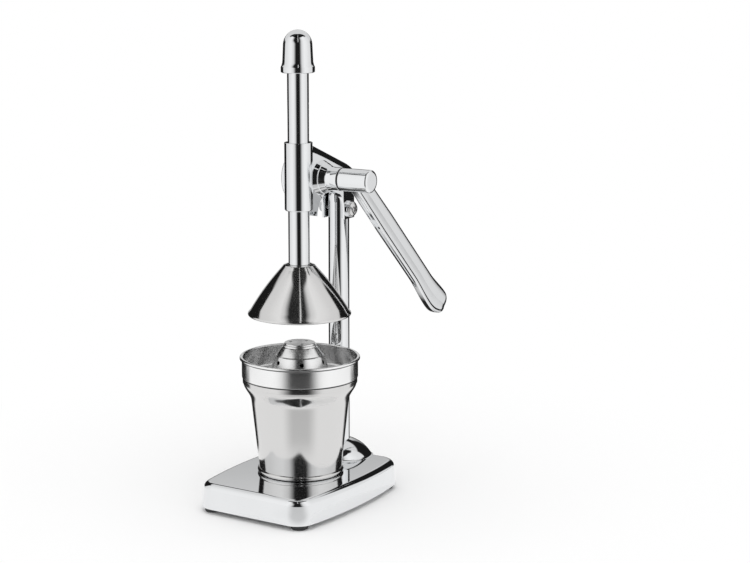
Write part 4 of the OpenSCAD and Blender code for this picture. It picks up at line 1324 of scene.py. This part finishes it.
def soft_boxes(tree, away, aside, up):
    """Light of the boxes at both sides; their edges lean near the floor and high up."""
    dark = bpy.context.scene.juicer_stage.dark
    front = from_to(tree, away, 45, 80, 1.0, 0.0)
    rear_foot = ramp_line(tree, up, 0.0, 0.19, 13.3 / HALF_TURN, 0.0)
    front_foot = between(tree, up, 0.05, 0.1, 4 / HALF_TURN, 0.0)
    front_top = between(tree, aside, -0.01, 0.01, 18 / HALF_TURN, 3 / HALF_TURN)
    moved = gather(
        tree, "ADD", calculate(tree, "MULTIPLY", from_to(tree, away, 60, 100), rear_foot),
        calculate(tree, "MULTIPLY", front, front_foot),
        gather(tree, "MULTIPLY", front_top, front, between(tree, up, 0.45, 0.75)),
    )
    boxes = ramp_degrees(tree, calculate(tree, "SUBTRACT", away, moved), [
        (0, dark), (15, dark), (31, 0.78), (50, 1.0), (70, 0.96), (92, 0.86), (106, 0.84), (113, 0.78),
        (114.8, dark), (180, dark),
    ])
    lifted = calculate(tree, "ADD", up, from_to(tree, away, 70, 96, 0.0, 0.26))
    return calculate(tree, "MULTIPLY", boxes, between(tree, lifted, 1.06, 1.2, 1.0, dark))


def rear_sky(tree, away, up):
    """Light above the dark flags behind."""
    return calculate(tree, "MULTIPLY", from_to(tree, away, 102, 110), between(tree, up, 0.44, 0.52, 0.0, 0.74))


def backdrop(tree, away, up):
    """Backdrop straight behind, darker towards the floor."""
    share_up = calculate(tree, "DIVIDE", up, bpy.context.scene.juicer_stage.tent_height)
    drop = ramp(tree, share_up, [
        (0.0, 0.05), (0.03, 0.2), (0.075, 0.46), (0.11, 0.56), (0.15, 0.74), (0.167, 0.7), (0.18, 0.0),
    ])
    return calculate(tree, "MULTIPLY", from_to(tree, away, 154, 162), drop)


def front_slit(tree, away, aside, up):
    """Thin slit of light in the dark gap in front, high up and just right of the middle."""
    return gather(
        tree, "MULTIPLY", from_to(tree, away, 0.5, 2), from_to(tree, away, 4, 6, 1.0, 0.0),
        between(tree, aside, 0.002, 0.004), between(tree, up, 0.55, 0.65, 0.0, 0.95),
    )


def make_tent():
    """Tent of soft boxes at both sides, a dark gap in front, dark flags and a backdrop behind."""
    look = bpy.context.scene.juicer_stage
    reach, height = look.tent_radius / MM, look.tent_height / MM
    tent = lathe("light_tent", [(reach, 0), (reach, height), (0, height)], (0, sizes().press_y))
    finish, tree, glow = plain_light("tent_light")
    away, spot = turned_away(tree)
    parts = node(tree, "ShaderNodeSeparateXYZ")
    tree.links.new(spot, parts.inputs["Vector"])
    aside, up = parts.outputs["X"], parts.outputs["Z"]
    lit = gather(
        tree, "MAXIMUM", soft_boxes(tree, away, aside, up), rear_sky(tree, away, up),
        backdrop(tree, away, up), front_slit(tree, away, aside, up),
    )
    tree.links.new(lit, glow.inputs["Strength"])
    tent.data.materials.append(finish)
    hide_from_light(tent)


def make_sheen():
    """Floor of the tent, seen only in mirror reflections: dark in front and behind, light at the sides."""
    reach = bpy.context.scene.juicer_stage.tent_radius / MM
    sheet = lathe("tent_floor", [(100, 0.5), (reach, 0.5)], (0, sizes().press_y))
    finish, tree, glow = plain_light("tent_floor_light")
    away, spot = turned_away(tree)
    radius = node(tree, "ShaderNodeVectorMath", operation="LENGTH")
    tree.links.new(spot, radius.inputs[0])
    far = radius.outputs["Value"]
    near_front = ramp(tree, far, [(0, 0), (0.11, 0), (0.15, 0.32), (0.24, 0.36), (1, 0.36)])
    patches = [
        (from_to(tree, away, 13, 44, 1.0, 0.0), near_front),
        (from_to(tree, away, 12, 46, 1.0, 0.0), between(tree, far, 0.26, 0.36)),
        (from_to(tree, away, 110, 120), between(tree, far, 0.3, 0.4)),
        (from_to(tree, away, 126, 138), between(tree, far, 0.13, 0.16)),
    ]
    dim = gather(tree, "MAXIMUM", *[calculate(tree, "MULTIPLY", *patch) for patch in patches])
    lit = calculate(tree, "SUBTRACT", 0.95, calculate(tree, "MULTIPLY", dim, 0.93))
    tree.links.new(lit, glow.inputs["Strength"])
    sheet.data.materials.append(finish)
    hide_from_light(sheet)


def make_lamp():
    """Soft lamp above, which gives the contact shadow."""
    bpy.ops.object.light_add(type="AREA", location=(0.3, -0.5, 1.9))
    lamp = bpy.context.object
    lamp.name = "soft_lamp"
    lamp.data.shape = "DISK"
    lamp.data.size = 1.6
    lamp.data.energy = 9.0
    lamp.rotation_euler = (Vector((0, 0, 0.1)) - lamp.location).to_track_quat("-Z", "Y").to_euler()


# Operators


class JUICER_OT_stage(bpy.types.Operator):
    """Makes the camera, floor, lamp and light tent"""

    bl_idname = "juicer.stage"
    bl_label = "Stage"

    def execute(self, context):
        context.scene.view_settings.view_transform = "Standard"
        set_mode("OBJECT")
        bpy.ops.object.select_all(action="DESELECT")
        make_camera()
        make_world()
        make_floor()
        make_tent()
        make_sheen()
        make_lamp()
        return {"FINISHED"}


class JUICER_OT_base(bpy.types.Operator):
    """Models the base casting with the domed foot of the column"""

    bl_idname = "juicer.base"
    bl_label = "Base"

    def execute(self, context):
        model_base()
        return {"FINISHED"}


class JUICER_OT_feet(bpy.types.Operator):
    """Models the rubber feet"""

    bl_idname = "juicer.feet"
    bl_label = "Feet"

    def execute(self, context):
        model_feet()
        return {"FINISHED"}


class JUICER_OT_column(bpy.types.Operator):
    """Models the column"""

    bl_idname = "juicer.column"
    bl_label = "Column"

    def execute(self, context):
        model_column()
        return {"FINISHED"}


class JUICER_OT_head(bpy.types.Operator):
    """Models the head casting and its gear cover"""

    bl_idname = "juicer.head"
    bl_label = "Head"

    def execute(self, context):
        model_head()
        model_gear_cover()
        return {"FINISHED"}


class JUICER_OT_screws(bpy.types.Operator):
    """Models the clamp screw, its nut and the cover screws"""

    bl_idname = "juicer.screws"
    bl_label = "Screws"

    def execute(self, context):
        model_screws()
        return {"FINISHED"}


class JUICER_OT_lever(bpy.types.Operator):
    """Models the lever with its hub"""

    bl_idname = "juicer.lever"
    bl_label = "Lever"

    def execute(self, context):
        model_lever()
        return {"FINISHED"}


class JUICER_OT_press(bpy.types.Operator):
    """Models the toothed rod, its cap and the cone"""

    bl_idname = "juicer.press"
    bl_label = "Press"

    def execute(self, context):
        model_rod()
        model_cap()
        model_cone()
        return {"FINISHED"}


class JUICER_OT_cup(bpy.types.Operator):
    """Models the juice cup"""

    bl_idname = "juicer.cup"
    bl_label = "Cup"

    def execute(self, context):
        model_cup()
        return {"FINISHED"}


class JUICER_OT_strainer(bpy.types.Operator):
    """Models the strainer with its holes"""

    bl_idname = "juicer.strainer"
    bl_label = "Strainer"

    def execute(self, context):
        model_strainer()
        return {"FINISHED"}


class JUICER_OT_inner(bpy.types.Operator):
    """Finishes the inner pieces of the frame"""

    bl_idname = "juicer.inner"
    bl_label = "Inner pieces"

    def execute(self, context):
        dress_frame_nodes()
        return {"FINISHED"}


OPERATORS = [
    JUICER_OT_stage, JUICER_OT_base, JUICER_OT_feet, JUICER_OT_column, JUICER_OT_head, JUICER_OT_screws,
    JUICER_OT_lever, JUICER_OT_press, JUICER_OT_cup, JUICER_OT_strainer, JUICER_OT_inner,
]


class JUICER_PT_panel(bpy.types.Panel):
    """Sidebar panel of the juicer"""

    bl_idname = "JUICER_PT_panel"
    bl_label = "Juicer"
    bl_space_type = "VIEW_3D"
    bl_region_type = "UI"
    bl_category = "Juicer"

    def draw(self, context):
        scene = context.scene
        for operator in OPERATORS:
            self.layout.operator(operator.bl_idname)
        for group in (scene.juicer_sizes, scene.juicer_finishes, scene.juicer_stage):
            column = self.layout.column()
            for name in group.__annotations__:
                column.prop(group, name)


CLASSES = [JuicerSizes, JuicerFinishes, JuicerStage, *OPERATORS, JUICER_PT_panel]


def register():
    """Adds the classes and the groups of values."""
    for cls in CLASSES:
        bpy.utils.register_class(cls)
    bpy.types.Scene.juicer_sizes = PointerProperty(type=JuicerSizes)
    bpy.types.Scene.juicer_finishes = PointerProperty(type=JuicerFinishes)
    bpy.types.Scene.juicer_stage = PointerProperty(type=JuicerStage)


def unregister():
    """Takes the groups of values and the classes away again."""
    del bpy.types.Scene.juicer_sizes
    del bpy.types.Scene.juicer_finishes
    del bpy.types.Scene.juicer_stage
    for cls in reversed(CLASSES):
        bpy.utils.unregister_class(cls)


def main():
    """Models the stage and every piece in order."""
    register()
    bpy.ops.juicer.stage()
    bpy.ops.juicer.base()
    bpy.ops.juicer.feet()
    bpy.ops.juicer.column()
    bpy.ops.juicer.head()
    bpy.ops.juicer.screws()
    bpy.ops.juicer.lever()
    bpy.ops.juicer.press()
    bpy.ops.juicer.cup()
    bpy.ops.juicer.strainer()
    bpy.ops.juicer.inner()


if __name__ == "__main__":
    main()
